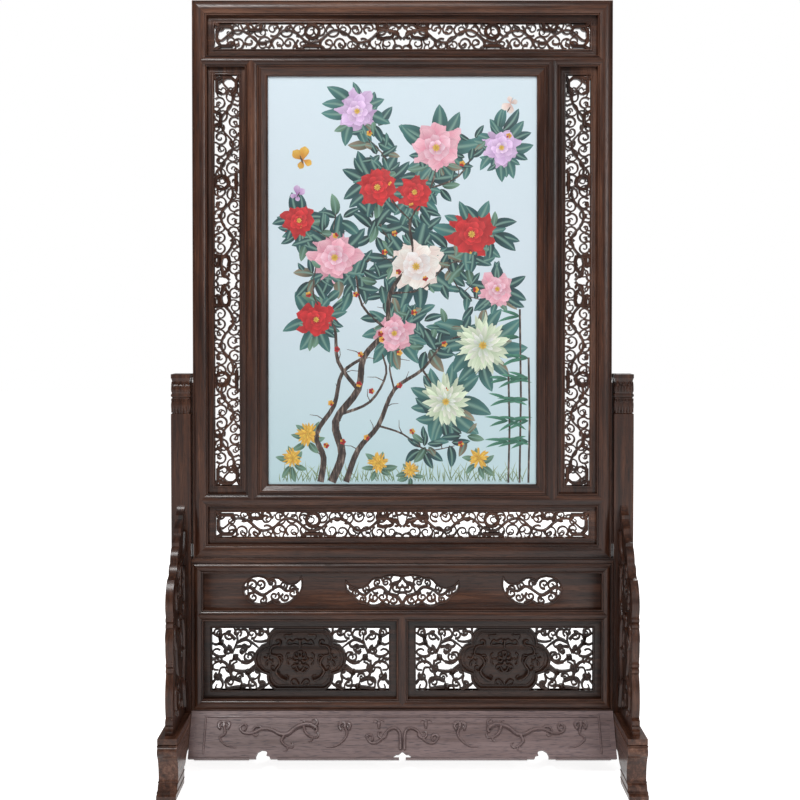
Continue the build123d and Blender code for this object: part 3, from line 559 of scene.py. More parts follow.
LOBES = arcs([(60, 74), (76, 60), (80, 36), (113, 0), (80, -36), (76, -60), (60, -74)])
CARTOUCHE = LOBES + [(-x, y) for x, y in LOBES[::-1]]
PANEL_SCROLLS = [
    [(-170, 14), (-160, 36), (-157, 51), (-164, 74), (-166, 78)],
    [(-160, 39), (-137, 47), (-120, 39), (-105, 27)],
    [(-151, 45), (-131, 56), (-135, 71), (-148, 72), (-151, 65)],
    [(-77, 51), (-84, 45), (-99, 42), (-114, 44), (-117, 48)],
    [(-77, 53), (-83, 65), (-92, 68), (-102, 66), (-96, 57)],
    [(-163, 47), (-175, 60), (-190, 62), (-199, 54)],
    [(-203, 79), (-199, 59), (-202, 48), (-200, 39)],
    [(-197, 38), (-185, 23), (-188, 8), (-203, 5), (-217, 12), (-217, 20), (-208, 24), (-200, 20)],
    [(-170, -50), (-179, -24), (-188, -11), (-203, -7), (-217, -15), (-217, -27), (-205, -29)],
    [(-175, -5), (-176, -24), (-169, -47)],
    [(-148, -8), (-131, -11), (-116, 0), (-117, 14), (-129, 15), (-132, 9)],
    [(-131, -32), (-114, -17), (-110, -14)],
    [(-131, -32), (-151, -32), (-170, -27), (-170, -15), (-157, -8)],
    [(-126, -35), (-114, -27), (-102, -36), (-107, -47), (-116, -53)],
    [(-131, -38), (-123, -54), (-111, -65), (-111, -77)],
    [(-144, -71), (-131, -68), (-123, -77)],
    [(-221, -63), (-205, -41), (-199, -24), (-185, -23)],
    [(-144, -71), (-163, -72), (-184, -74), (-184, -56), (-167, -53), (-151, -59)],
    [(-170, 14), (-175, 20), (-181, 26), (-187, 26)],
    [(-199, 54), (-211, 59), (-221, 65)],
    [(-200, 39), (-211, 35), (-221, 39)],
    [(-160, 29), (-146, 30), (-138, 21), (-146, 12), (-152, 18)],
    [(-140, 32), (-129, 29), (-123, 36), (-129, 44)],
    [(-102, -41), (-104, -56), (-96, -68), (-89, -63)],
    [(-169, -47), (-151, -54), (-144, -71)],
    [(-212, -41), (-197, -54), (-194, -66), (-200, -77), (-212, -75), (-209, -65)],
    [(-81, 78), (-80, 65), (-77, 54)],
    [(-129, 74), (-114, 74), (-99, 74)],
    [(-107, -77), (-84, -66), (-78, -59)],
    [(-220, -2), (-208, 0), (-203, -7)],
    [(-163, 5), (-170, -5), (-175, -5)],
    [(-163, 5), (-148, -8)],
]
PANEL_CURLS = [
    (-206, 66, 9, 200, -220), (-178, 58, 10, 60, 230), (-120, 60, 10, 250, 220), (-142, 26, 9, 200, 230),
    (-182, 22, 10, 90, -220), (-205, -4, 9, 300, 230), (-176, -24, 10, 60, -230), (-206, -44, 9, 120, 220),
    (-178, -58, 10, 200, -230), (-152, -46, 9, 0, 230), (-120, -60, 9, 60, 220), (-110, -30, 8, 200, -220),
    (-130, 4, 10, 120, 230), (-100, 66, 8, 200, 220), (-96, -66, 8, 120, -220), (-156, 64, 9, 300, 220),
]
PANEL_KNOTS = [(-162, 3, 9), (-131, -34, 8), (-144, -71, 9), (-199, 55, 5), (-197, 40, 6)]


def leaf_spray(x, y, size):
    """Four short curled leaves round a carved knot."""
    return [scroll(x, y, heading, [(size * 0.8, 70)], 2.2, 0.8) for heading in (20, 110, 200, 290)]


def rim(outline):
    return straight(*outline, outline[0])


def cartouche_relief():
    """A flower in the middle, a bat above it, cloud scrolls below and a climbing dragon; right half."""
    lines = []
    for turn in (-75, -25, 25, 75):
        root = cmath.rect(6, math.radians(turn))
        lines.append(scroll(root.real, 2 + root.imag, turn - 40, [(7, 150), (3, 90)], 1.7, 0.8))
    dragon = [(34, -52), (50, -44), (60, -28), (50, -10), (58, 8), (74, 14), (70, 32), (54, 36)]
    lines.append(smooth_line(dragon, 2.4, 1.2))
    lines += scrolls([
        (54, 36, 170, [(6, -200), (3, -120)], 2.0, 0.8), (54, 36, 110, [(10, 60)], 1.2, 0.6),
        (60, -28, -40, [(8, 150), (4, 140)], 1.4, 0.6), (50, -10, 160, [(8, -170), (4, -120)], 1.4, 0.6),
        (58, 8, 120, [(7, 170), (3, 120)], 1.3, 0.6), (74, 14, -20, [(9, -140), (4, -120)], 1.4, 0.6),
        (34, -52, 160, [(6, -190)], 1.4, 0.6),
    ])
    bat_wing = [(0, 44), (9, 50), (19, 44), (27, 48), (33, 38), (24, 36), (12, 38), (0, 34)]
    lines.append(smooth_line(bat_wing, 1.5, 0.9))
    lines.append(smooth_line([(0, 50), (0, 40), (0, 30)], 2.4, 1.2, 2))
    return lines + scrolls([
        (0, -30, 20, [(14, 60), (6, -230), (3, -120)], 1.5, 0.7), (0, -30, -30, [(12, 50), (5, 200)], 1.5, 0.7),
        (4, -62, 40, [(16, 30), (7, -220), (3, -100)], 1.5, 0.7), (84, -16, 60, [(9, 160), (4, 140)], 1.4, 0.6),
        (92, 6, -120, [(8, -150), (4, -140)], 1.4, 0.6), (28, 16, -20, [(10, -120), (4, -140)], 1.3, 0.6),
        (28, -14, 30, [(9, 130), (4, 120)], 1.3, 0.6), (20, 62, -30, [(14, 50), (6, -190)], 1.3, 0.6),
    ])


PANEL_BOARD = (481, 195)
PANEL_WINDOW = (441, 155)
PANEL_PLACE = (254.5, 265.5)
CARTOUCHE_FACE = 5.6


def lower_panel(name, side):
    """A lipped board with scrolls either side of a cartouche that is carved on both faces."""
    half = [smooth_line(points, 1.15) for points in PANEL_SCROLLS]
    for x, y, size in PANEL_KNOTS:
        half += leaf_spray(x, y, size)
        half.append(scroll(x + size * 0.3, y, 90, [(size * 0.3, 300)], 1.5, 1.5, 60))
    fillers = [curl(*row, 0.9) for row in PANEL_CURLS]
    raised = carve(both_halves(cartouche_relief()), "relief", half_width=2.5, depth=4.6)
    bmesh.ops.translate(raised, vec=(0, 0, CARTOUCHE_FACE * MM), verts=raised.verts)
    parts = lipped_board(PANEL_BOARD, PANEL_WINDOW) + double_sided(raised) + [
        sawn([CARTOUCHE], thick=11.0),
        sawn([rectangle(120, PANEL_WINDOW[1] + LIP_GROWN)], thick=10.8),
        carve(both_halves(half) + both_halves(fillers), "vine", half_width=2.8),
        carve([rim(CARTOUCHE)], "ribbon", half_width=3.2, depth=1.6),
        carve([rim([(x * 0.9, y * 0.87) for x, y in CARTOUCHE])], "vine", half_width=1.6, depth=1.08),
    ]
    x, z = PANEL_PLACE
    made = piece(f"lower_fretwork_{name}", parts, standing(side * x, z), panel_wood, "stand")
    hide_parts(f"lower_fret_{name}")


for name, side in SIDES:
    lower_panel(name, side)


# Cloud board
CLOUD_BOARD = (990, 91)
CLOUD_LEVEL = 436.5
SIDE_CLOUD_X = 325
SIDE_CLOUD = arcs([(2, -25), (-45, -33), (-73, 4), (-50, 33), (-8, 26), (10, 32), (28, 25), (52, 16),
                   (73, 33), (72, 0), (50, -24), (26, -35), (2, -25)])[:-1]
CENTRE_HALF = arcs([(0, 35), (30, 38), (55, 31), (68, 31), (78.7, 23.6), (108, 6), (139.6, 23.6), (138, 2),
                    (122, -12), (110, -27), (92, -31.5), (72, -39), (49, -29.5), (24, -40), (0, -35)])
CENTRE_CLOUD = CENTRE_HALF + [(-x, y) for x, y in CENTRE_HALF[-2:0:-1]]


def cloud_lines():
    """Tendrils inside the two side clouds and the centre one."""
    stem = [(-73, 0), (-56, 8), (-40, -4), (-22, -12), (-2, 0), (18, 10), (38, -2), (60, 8)]
    side = [smooth_line(stem, 1.3, 0.9)]
    side += [curl(*row) for row in [
        (-50, 14, 11, 200, -230), (-28, 14, 10, 250, 220), (-48, -16, 10, 60, 240), (-22, -24, 8, 100, -220),
        (0, 17, 9, 270, 230), (8, -15, 10, 60, -240), (30, 12, 8, 300, 220), (32, -17, 9, 120, 220),
        (54, -6, 10, 90, -230),
    ]]
    side += scrolls([
        (62, 20, 60, [(30, 30)], 1.0, 0.7), (-12, 28, -80, [(12, 60), (5, 150)]),
        (-73, 6, 30, [(9, -160)]), (-60, -18, 120, [(8, -150)]), (20, -34, 100, [(8, 150)]),
        (20, 29, -60, [(9, 120)]), (44, 4, 80, [(9, -160)]), (66, 4, 200, [(8, 120)]),
    ])
    stem = [(0, -36), (12, -16), (34, -8), (52, 8), (76, 2), (96, -12), (118, 2), (138, 18)]
    centre = [smooth_line(stem, 1.3, 0.9), smooth_line([(0, 36), (8, 22), (24, 16), (34, -8)], 1.2, 0.9)]
    centre += [curl(*row) for row in [
        (14, 6, 10, 120, -240), (22, -24, 9, 60, 240), (38, 20, 10, 230, -230), (48, -16, 10, 90, 240),
        (62, 18, 8, 240, 220), (72, -18, 10, 60, -230), (90, 4, 8, 270, 230), (98, -22, 7, 120, 220),
        (116, -6, 8, 60, -240), (126, 8, 6, 250, 220),
    ]]
    centre += scrolls([
        (0, 14, -90, [(8, 170), (4, 130)]), (26, 36, -90, [(9, 150)]), (50, 33, -60, [(8, -150)]),
        (0, -6, 20, [(9, -140)]), (34, -34, 110, [(8, -150)]), (60, -6, -40, [(9, 150)]),
        (84, -35, 70, [(9, 140)]), (108, 8, -60, [(8, 140)]),
    ])
    return both_halves(moved(side, -SIDE_CLOUD_X)) + both_halves(centre)


def cloud_fretwork():
    """The board with its three cloud openings, their tendrils and their rims."""
    left = [(x - SIDE_CLOUD_X, y) for x, y in SIDE_CLOUD]
    clouds = [left, CENTRE_CLOUD, [(-x, y) for x, y in left]]
    parts = [
        sawn([rectangle(*CLOUD_BOARD, TONGUE)] + clouds, BOARD),
        carve(cloud_lines(), "vine", half_width=2.9),
        carve([rim(outline) for outline in clouds], "vine", half_width=2.2, depth=1.25),
    ]
    made = piece("cloud_fretwork", parts, standing(0, CLOUD_LEVEL), level, "stand")
    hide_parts("cloud_board")


cloud_fretwork()


# Relief on the sloping aprons
def cloud_with_tail(x, y, size, tail):
    """A cloud of four curls over a trailing stem."""
    lines = []
    for side in (1, -1):
        upper = [(size, 220 * side), (size * 0.5, 150 * side)]
        lower = [(size, 230 * side), (size * 0.5, 100 * side)]
        lines.append(scroll(x, y, 90 - 30 * side, upper, 1.7, 0.8))
        lines.append(scroll(x + size * side, y - size * 0.7, 90 - 70 * side, lower, 1.6, 0.7))
    stem = [(x, y)] + [(x + across, y + up) for across, up in tail]
    return lines + [smooth_line(stem, 1.7, 0.7)]


def apron_relief():
    """Right half: a ruyi scroll in the middle, two clouds, and a running dragon between them."""
    ruyi = [(5, -34), (5, -8), (8, 8), (20, 16), (36, 10), (48, -6), (62, -18), (78, -18), (88, -6)]
    dragon = [(212, 16), (226, 24), (244, 24), (264, 16), (282, 2), (300, 2), (322, 12), (346, 14),
              (370, 4), (392, 6), (400, 18), (390, 26)]
    lines = [
        smooth_line(ruyi, 1.9, 1.2),
        smooth_line(dragon, 2.6, 1.2),
        # the dragon's front and back leg
        smooth_line([(244, 22), (238, 6), (226, -4), (212, -6)], 2.0, 1.0),
        smooth_line([(288, 2), (296, -14), (284, -26), (272, -30)], 2.0, 1.0),
        # border line
        straight((0, 43), (486, 43), (486, -44), width=1.1),
        straight((8, -55), (304, -55), width=1.2),
        straight((374, -55), (508, -55), width=1.2),
        straight((58, 16), (58, 34), width=1.5),
    ]
    lines += scrolls([
        # round the ruyi scroll
        (88, -6, 100, [(8, 200), (4, 120)], 1.8, 0.8), (40, 4, -100, [(10, 190), (5, 150)], 1.7, 0.7),
        (58, 22, 130, [(8, -200)], 1.5, 0.7), (58, 22, 50, [(8, 200)], 1.5, 0.7),
        # the dragon's tail, mane, head and claws
        (390, 26, 200, [(8, 190), (4, 100)], 1.6, 0.7), (346, 14, 60, [(12, -200), (6, -120)], 1.5, 0.7),
        (212, 16, 230, [(6, 120)], 2.2, 1.0), (214, 22, 150, [(8, -160), (4, -100)], 1.6, 0.7),
        (226, 26, 60, [(10, -120)], 1.6, 0.6), (240, 22, 110, [(9, -150)], 1.4, 0.6),
        (212, -6, 180, [(6, -190)], 1.3, 0.6), (222, -5, 240, [(7, 150)], 1.3, 0.6),
        (272, -30, 170, [(6, -180)], 1.3, 0.6), (282, -28, 240, [(7, 150)], 1.3, 0.6),
        (264, 16, -80, [(9, 140)], 1.4, 0.6),
    ])
    lines += cloud_with_tail(142, 18, 8, [(-6, -14), (2, -30), (22, -44), (44, -46)])
    return lines + cloud_with_tail(440, 20, 8, [(-4, -16), (8, -28), (-8, -44), (-34, -50)])


APRON_LEAN = math.atan2(56, 97)
APRON_MIDDLE = (0, -46.5, 90.5)


def apron_carving(name, flip):
    work = carve(both_halves(apron_relief()), "relief", half_width=2.8, depth=4.8)
    lean = Matrix.Rotation(math.radians(90) - APRON_LEAN, 4, "X")
    place = Matrix.Diagonal((1, flip, 1, 1)) @ Matrix.Translation(Vector(APRON_MIDDLE) * MM) @ lean
    # the apron relief also takes the copy with the painted sheen
    piece(f"apron_carving_{name}", [work], place, apron_painted_sheen_wood, "stand")


for name, flip in (("front", 1), ("back", -1)):
    apron_carving(name, flip)


# Lotus petals on the post capitals
POST_X = 547.0
CAPITAL_FACE = 23.6
CAPITAL_OUTER_FACE = 22.8


def petal_row(half_width, level, height, count, upside=1):
    """A row of lotus petals across one face of a capital, drawn flat."""
    wide = 2 * half_width / count
    shoulder = level + upside * height * 0.6
    lines = []
    for number in range(count):
        x = -half_width + wide * (number + 0.5)
        outline = [(x - wide * 0.42, level), (x - wide * 0.4, shoulder), (x, level + upside * height),
                   (x + wide * 0.4, shoulder), (x + wide * 0.42, level)]
        lines.append(smooth_line(outline, 1.0, 1.0, 3))
        lines.append(straight((x, level), (x, shoulder), width=1.5))
    return lines


def capital_petals(name, side):
    """Petals on the front, outer and back face of one capital."""
    petals = petal_row(21.5, 882, 26, 3) + petal_row(22, 934, 24, 3) + petal_row(22, 917, 8, 5, -1)
    parts = []
    for turn, reach in ((0, CAPITAL_FACE), (90 * side, CAPITAL_OUTER_FACE), (180, CAPITAL_FACE)):
        work = carve(petals, "relief", half_width=1.0, depth=1.3)
        place = Matrix.Rotation(math.radians(turn), 4, "Z") @ standing(0, 0, y=-reach)
        place = Matrix.Translation((side * POST_X * MM, 0, 0)) @ place
        bmesh.ops.transform(work, matrix=place, verts=work.verts)
        parts.append(work)
    piece(f"capital_petals_{name}", parts, Matrix(), upright, "stand")


for name, side in SIDES:
    capital_petals(name, side)


# Collars on the feet; each has its lower and upper level, its inner and outer end
COLLAR_WIDE = 48.4
COLLAR_EDGE = 0.9
COLLARS = ((29.5, 33.0, 110.8, 188.0), (12.0, 15.0, 110.8, 204.0), (119.5, 122.0, 20.0, 202.0))


def foot_collars(name, side):
    """Thin raised bands on both ends of one foot."""
    work = bmesh.new()
    for way in (-1, 1):
        for low, high, inner, outer in COLLARS:
            made = bmesh.ops.create_cube(work, size=1.0)["verts"]
            size = Vector((COLLAR_WIDE, outer - inner, high - low))
            spot = Vector((side * POST_X, way * (outer + inner) / 2, (low + high) / 2))
            bmesh.ops.scale(work, vec=size * MM, verts=made)
            bmesh.ops.translate(work, vec=spot * MM, verts=made)
    bmesh.ops.bevel(work, geom=work.edges[:], offset=COLLAR_EDGE * MM, segments=2, affect="EDGES")
    # the collars take the feet's copy with its painted light
    piece(f"foot_collars_{name}", [work], Matrix(), foot_painted_light_wood, "stand")


for name, side in SIDES:
    foot_collars(name, side)


# Scrolls on the spandrels
SPANDREL_FACE = 9.0
SPANDREL_STEMS = [
    ([(-36, 590), (-52, 540), (-86, 520), (-96, 470), (-70, 440), (-50, 470), (-66, 490)], 2.2, 0.9),
    ([(-40, 160), (-60, 230), (-120, 260), (-140, 330), (-100, 370), (-72, 330), (-96, 300)], 2.4, 0.9),
    ([(-60, 230), (-48, 300), (-60, 380), (-120, 420), (-140, 460), (-112, 480), (-100, 450)], 2.2, 0.9),
    ([(-120, 260), (-150, 230), (-146, 190), (-110, 180), (-100, 210), (-120, 222)], 2.0, 0.8),
    ([(-60, 380), (-40, 420), (-44, 480), (-60, 510)], 1.8, 0.7),
    ([(-140, 330), (-158, 360), (-146, 390), (-128, 380)], 1.8, 0.7),
]
SPANDREL_SCROLLS = [
    (-100, 372, 160, [(16, -190), (8, -150)], 1.8, 0.8), (-86, 520, 150, [(18, 190), (8, 150)], 1.8, 0.8),
    (-48, 300, 100, [(12, 210), (6, 150)], 1.6, 0.7), (-42, 200, 100, [(14, -120), (7, -200)], 1.8, 0.8),
    (-150, 232, 80, [(18, -150), (8, -180)], 1.8, 0.8), (-64, 165, 150, [(20, -60), (9, 220)], 1.8, 0.8),
    (-140, 460, 60, [(14, -120), (7, -180)], 1.7, 0.8), (-44, 480, 120, [(16, -150), (7, -160)], 1.7, 0.8),
    (-126, 165, 60, [(14, 120), (7, 190)], 1.7, 0.8), (-120, 420, 190, [(14, -160), (7, -160)], 1.7, 0.8),
    (-96, 470, 170, [(14, 150), (7, 170)], 1.7, 0.8), (-46, 400, 150, [(10, -220), (5, -150)], 1.6, 0.7),
]


def spandrel_carving(name, side, end, flip):
    """Relief on both faces of one spandrel; its drawing's x runs along the foot, its y up."""
    lines = [smooth_line(*stem) for stem in SPANDREL_STEMS] + scrolls(SPANDREL_SCROLLS)
    parts = []
    for face in (-1, 1):
        work = carve(lines, "relief", half_width=2.5, depth=2.6)
        turned = Matrix(((0, 0, face, 0), (flip, 0, 0, 0), (0, 1, 0, 0), (0, 0, 0, 1)))
        place = Matrix.Translation(((side * POST_X + face * SPANDREL_FACE) * MM, 0, 0)) @ turned
        bmesh.ops.transform(work, matrix=place, verts=work.verts)
        bmesh.ops.recalc_face_normals(work, faces=work.faces)
        parts.append(work)
    piece(f"spandrel_carving_{end}_{name}", parts, Matrix(), upright, "stand")


for name, side in SIDES:
    for end, flip in (("front", 1), ("back", -1)):
        spandrel_carving(name, side, end, flip)


# Silk and its embroidery
SILK_CENTRE = 1207.8
SILK_SIZE = (698, 1043)
SILK_THICK = 0.7
BRANCH_RISE = (0.3, 0.5, 1.0)
SKY_LOW = 0.70
SKY_HIGH = 1.15


def silk_finish():
    silk = Finish("satin_silk", Roughness=0.46, Sheen_Weight=0.25, Sheen_Roughness=0.4)
    coordinates = silk.node("ShaderNodeTexCoord", out="Object")
    height = silk.node("ShaderNodeSeparateXYZ", None, {0: coordinates}, out=2)
    sky = silk.blend((0.520, 0.700, 0.740, 1), (0.630, 0.725, 0.790, 1), height.ramp(SKY_LOW, SKY_HIGH))
    warp = silk.noise(silk.place((1, 1, 0.02)), 2400, 2)
    weft = silk.noise(silk.place((0.02, 1, 1)), 2400, 2)
    mist = silk.noise(silk.place(), 3.5, 3)
    tone = silk.blend(sky, (0.60, 0.735, 0.775, 1), mist.ramp(0.45, 0.75) * 0.5)
    weave = warp + weft
    silk.feed("Base Color", silk.blend(tone, (0.50, 0.62, 0.68, 1), weave.ramp(0.9, 1.5) * 0.25))
    silk.bump(weave, 0.18, 0.0002)
    return silk.material


def thread_finish(name, lines, gloss):
    """Satin stitch: coloured by the piece's own attribute, with threads along each petal."""
    thread = Finish(name, Roughness=gloss, Sheen_Weight=0.3, Sheen_Roughness=0.35)
    colour = thread.node("ShaderNodeAttribute", {"attribute_name": "thread"})
    strand = thread.noise(thread.place((lines, 3.0, 1), "UV"), 1.0, 2, 0.6)
    shade = strand.ramp(0.3, 0.7)
    thread.feed("Base Color", thread.blend(colour, (0.02, 0.02, 0.02, 1), (1 - shade) * 0.30))
    thread.bump(shade, 0.5, 0.0004)
    return thread.material


def dark_thread():
    thread = Finish("branch_thread", Roughness=0.5, Sheen_Weight=0.2)
    bark = thread.noise(thread.place((1, 1, 0.25)), 160, 3, 0.6)
    stops = [(0.4, (0.020, 0.013, 0.012)), (0.55, (0.075, 0.050, 0.042)), (0.68, (0.26, 0.20, 0.165))]
    thread.feed("Base Color", thread.node("ShaderNodeValToRGB", {"stops": stops}, {"Fac": bark}))
    thread.bump(bark, 0.6, 0.0006)
    return thread.material


FULL_BLOOM = ((8, 1.0), (7, 0.76), (6, 0.52), (5, 0.3))
FLOWER_HEART = ((0.55, 0.30, 0.03), (0.90, 0.62, 0.12))
LEAF_VEIN = (0.20, 0.36, 0.30)


class Stitching:
    """Embroidered petals and leaves gathered in one mesh, drawn flat in millimetres."""

    def __init__(self, seed):
        self.work = bmesh.new()
        self.uv = self.work.loops.layers.uv.new("UVMap")
        self.thread = self.work.verts.layers.float_color.new("thread")
        self.random = random.Random(seed)

    def petal(self, x, y, angle, length, width, inner, outer,
              level=0.5, point=1.0, bend=0.0, vein=None, fine=(4, 6)):
        """One patch from its root; point above 1 puts its widest place nearer the tip."""
        made = bmesh.ops.create_grid(self.work, x_segments=fine[0], y_segments=fine[1], size=1.0)["verts"]
        shade = self.random.uniform(0.85, 1.15)
        course = cmath.rect(1, math.radians(angle))
        flat = {}
        for vert in made:
            across, along = vert.co.x, (vert.co.y + 1) / 2
            half = width / 2 * (0.04 + 0.96 * math.sin(math.pi * min(1, along) ** point) ** 0.75)
            swing = cmath.rect(1, math.radians(bend) * along)
            place = complex(x, y) + course * swing * (along * length + 1j * across * half)
            flat[vert] = (across, along)
            rise = level + 0.45 * (1 - across ** 2) * math.sin(math.pi * along)
            vert.co = (place.real * MM, place.imag * MM, rise * MM)
            share = min(1, max(0, along + 0.12 * math.sin(9 * across)))
            colour = [(a + (b - a) * share) * shade for a, b in zip(inner, outer)]
            if vein and abs(across) < 0.1:
                colour = list(vein)
            vert[self.thread] = (*colour, 1)
        for face in {face for vert in made for face in vert.link_faces}:
            for loop in face.loops:
                loop[self.uv].uv = flat[loop.vert]

    def blossom(self, x, y, radius, inner, outer, rings=FULL_BLOOM, wide=0.62, point=1.5):
        """A full flower: rings of petals, the outer ones lowest, and a golden heart."""
        turn = self.random.uniform(0, 60)
        for ring, (count, size) in enumerate(rings):
            for number in range(count):
                angle = turn + 360 * (number + 0.5 * ring) / count + self.random.uniform(-7, 7)
                length = radius * size * self.random.uniform(0.88, 1.1)
                pale = [min(1, part * (1 + 0.16 * ring)) for part in outer]
                self.petal(x, y, angle, length, length * wide * (1 + 0.25 * ring), inner, pale,
                           0.55 + 0.32 * ring, point, self.random.uniform(-14, 14))
        for number in range(9):
            self.petal(x, y, number * 40, radius * 0.15, radius * 0.06, *FLOWER_HEART, 2.0, fine=(2, 3))

    def leaf(self, x, y, angle, length, tint=None):
        dark, pale = tint or self.random.choice((TEAL, TEAL, GREEN, DEEP, RUST))
        width = length * self.random.uniform(0.36, 0.46)
        rise = self.random.uniform(0.3, 0.5)
        bend = self.random.uniform(-22, 22)
        self.petal(x, y, angle, length, width, dark, pale, rise, 0.85, bend, LEAF_VEIN, (6, 8))

    def leaves(self, x, y, size, count=7, tint=None):
        """A spray of leaves round a point."""
        start = self.random.uniform(0, 360)
        for number in range(count):
            angle = start + 360 * number / count + self.random.uniform(-18, 18)
            root = complex(x, y) + cmath.rect(size * 0.18, math.radians(angle))
            self.leaf(root.real, root.imag, angle, size * self.random.uniform(0.75, 1.1), tint)


TEAL = ((0.004, 0.030, 0.032), (0.075, 0.235, 0.225))
GREEN = ((0.008, 0.050, 0.034), (0.20, 0.36, 0.25))
DEEP = ((0.003, 0.014, 0.020), (0.030, 0.115, 0.125))
RUST = ((0.020, 0.050, 0.036), (0.36, 0.28, 0.19))
BAMBOO = ((0.012, 0.090, 0.060), (0.10, 0.33, 0.22))
RED = ((0.16, 0.004, 0.006), (0.62, 0.030, 0.035))
PINK = ((0.62, 0.085, 0.19), (0.86, 0.52, 0.60))
LILAC = ((0.36, 0.15, 0.42), (0.72, 0.54, 0.78))
PALE = ((0.34, 0.50, 0.26), (0.78, 0.86, 0.68))
GOLD = ((0.60, 0.20, 0.015), (0.92, 0.58, 0.10))
CREAM = ((0.72, 0.46, 0.40), (0.92, 0.85, 0.80))
GRASS = ((0.10, 0.20, 0.10), (0.42, 0.52, 0.30))
BUTTERFLY_BODY = ((0.02, 0.015, 0.015), (0.10, 0.07, 0.05))

# Places on the silk from its middle, in millimetres
GROUND = -502
BAMBOO_LOW = -400
BAMBOO_REACH = 330
BAMBOO_STEMS = ((292, -70), (314, -190), (264, -230))
# each branch: its points, and its width at the root and at the tip
BRANCHES = [
    ([(-176, -500), (-150, -430), (-166, -350), (-110, -270), (-96, -190), (-40, -120), (-30, -30),
      (24, 60), (20, 150), (70, 230), (90, 320)], 11.0, 2.2),
    ([(-140, -500), (-110, -420), (-60, -360), (-20, -270), (50, -220), (110, -150), (190, -130)], 8.0, 1.8),
    ([(-110, -270), (-160, -200), (-170, -110), (-220, -40), (-214, 40)], 5.5, 1.6),
    ([(-40, -120), (-100, -60), (-120, 30), (-170, 100), (-160, 190)], 3.6, 1.2),
    ([(-30, -30), (50, -20), (110, 40), (180, 60), (240, 130)], 3.6, 1.2),
    ([(20, 150), (-30, 210), (-40, 300), (-90, 360), (-110, 430)], 3.2, 1.0),
    ([(70, 230), (140, 260), (190, 330), (250, 350)], 2.8, 1.0),
    ([(-60, -360), (0, -380), (60, -420), (130, -410)], 3.0, 1.0),
    ([(110, 40), (150, -30), (220, -50)], 2.4, 0.9),
    ([(-170, 100), (-230, 130), (-270, 120)], 2.2, 0.8),
    ([(-20, -270), (-30, -200), (20, -150), (30, -90)], 2.6, 0.9),
    ([(-204, -500), (-196, -440), (-214, -380), (-170, -310), (-150, -230), (-96, -190)], 8.5, 3.5),
    ([(-150, -330), (-80, -300), (-40, -230), (-50, -160), (0, -90)], 4.0, 1.4),
    ([(24, 60), (-20, 90), (-60, 150), (-62, 232)], 3.0, 1.2),
    ([(50, -220), (90, -280), (108, -300)], 3.0, 1.2),
    ([(-120, 30), (-60, 60), (-10, 40)], 2.4, 1.0),
]
BLOOM = 1.28
FLOWERS = [
    (84, 330, 56, PINK), (-62, 232, 46, RED), (172, 116, 50, RED), (-168, 58, 54, PINK),
    (34, 36, 58, CREAM), (-112, 420, 44, LILAC), (246, 330, 42, LILAC), (200, -160, 60, PALE),
    (108, -300, 54, PALE), (-214, -96, 40, RED), (-20, -130, 44, PINK), (236, -20, 38, PINK),
    (-256, 150, 36, RED), (30, 220, 40, RED),
]
PALE_BLOOM = ((22, 1.0), (18, 0.82), (14, 0.62), (9, 0.4))
GROUND_BLOOM = ((16, 1.0), (12, 0.72), (8, 0.45))
GROUND_FLOWERS = ((-236, -380, 30), (-274, -440, 26), (-60, -452, 26), (190, -440, 28), (20, -470, 22))
# each butterfly: its place, size and turn, the way its feelers bend, and its colours
BUTTERFLIES = (
    (-246, 300, 34, 20, 1, GOLD), (-262, 214, 24, -30, -1, LILAC), (268, 440, 26, 150, -1, CREAM),
)


def stitch_leaves(stitches, rng):
    """Leaves along the branches and round the flowers."""
    for points, _, _ in BRANCHES:
        line = smooth_line(points[1:])
        for x, y, _ in line[2::3]:
            if y < -150 and x < 60:
                continue
            for tint in (DEEP, None):
                spot = (x + rng.uniform(-30, 30), y + rng.uniform(-24, 28))
                stitches.leaves(*spot, rng.uniform(44, 68), rng.choice((3, 4, 5)), tint)
    for x, y, radius, _ in FLOWERS:
        stitches.leaves(x, y, radius * 1.75, 8, rng.choice((TEAL, DEEP, TEAL)))
        stitches.leaves(x, y - radius * 0.5, radius * 1.25, 7)


def stitch_flowers(stitches, rng):
    """The flowers on the branches, those on the ground, and the small buds."""
    for x, y, size, tint in FLOWERS:
        if tint is PALE:
            stitches.blossom(x, y, size * BLOOM, *tint, PALE_BLOOM, wide=0.2, point=1.3)
        else:
            stitches.blossom(x, y, size * BLOOM, *tint)
    for x, y, radius in GROUND_FLOWERS:
        stitches.leaves(x, y - 14, radius * 1.5, 6, GREEN)
        stitches.blossom(x, y, radius, *GOLD, GROUND_BLOOM, wide=0.24, point=1.3)
    for points, _, _ in BRANCHES:
        for x, y, _ in smooth_line(points)[5::7]:
            spot = (x + rng.uniform(-16, 16), y + rng.uniform(4, 18))
            for number in range(5):
                tint = rng.choice((RED, GOLD))
                stitches.petal(*spot, 72 * number, 8, 7, *tint, level=1.1, point=1.4, fine=(2, 3))


def stitch_bamboo(stitches, rng):
    for root, top in BAMBOO_STEMS:
        for y in range(BAMBOO_LOW, top + 12, 52):
            for side in (-1, 1):
                for spread in (18, 46):
                    angle = 90 - side * (spread + 50 + rng.uniform(-10, 10))
                    if root + 60 * math.cos(math.radians(angle)) < BAMBOO_REACH:
                        length = rng.uniform(46, 62)
                        stitches.petal(root, y, angle, length, 8, *BAMBOO, point=0.8, bend=-12 * side)


def stitch_grass(stitches, rng):
    for x in range(-300, 300, 13):
        for lean in (-22, 4, 24):
            root = x + rng.uniform(-6, 6)
            angle = 90 + lean + rng.uniform(-9, 9)
            length = rng.uniform(24, 62)
            bend = rng.uniform(-20, 20)
            stitches.petal(root, GROUND, angle, length, 2.6, *GRASS, 0.3, 0.7, bend, fine=(2, 5))


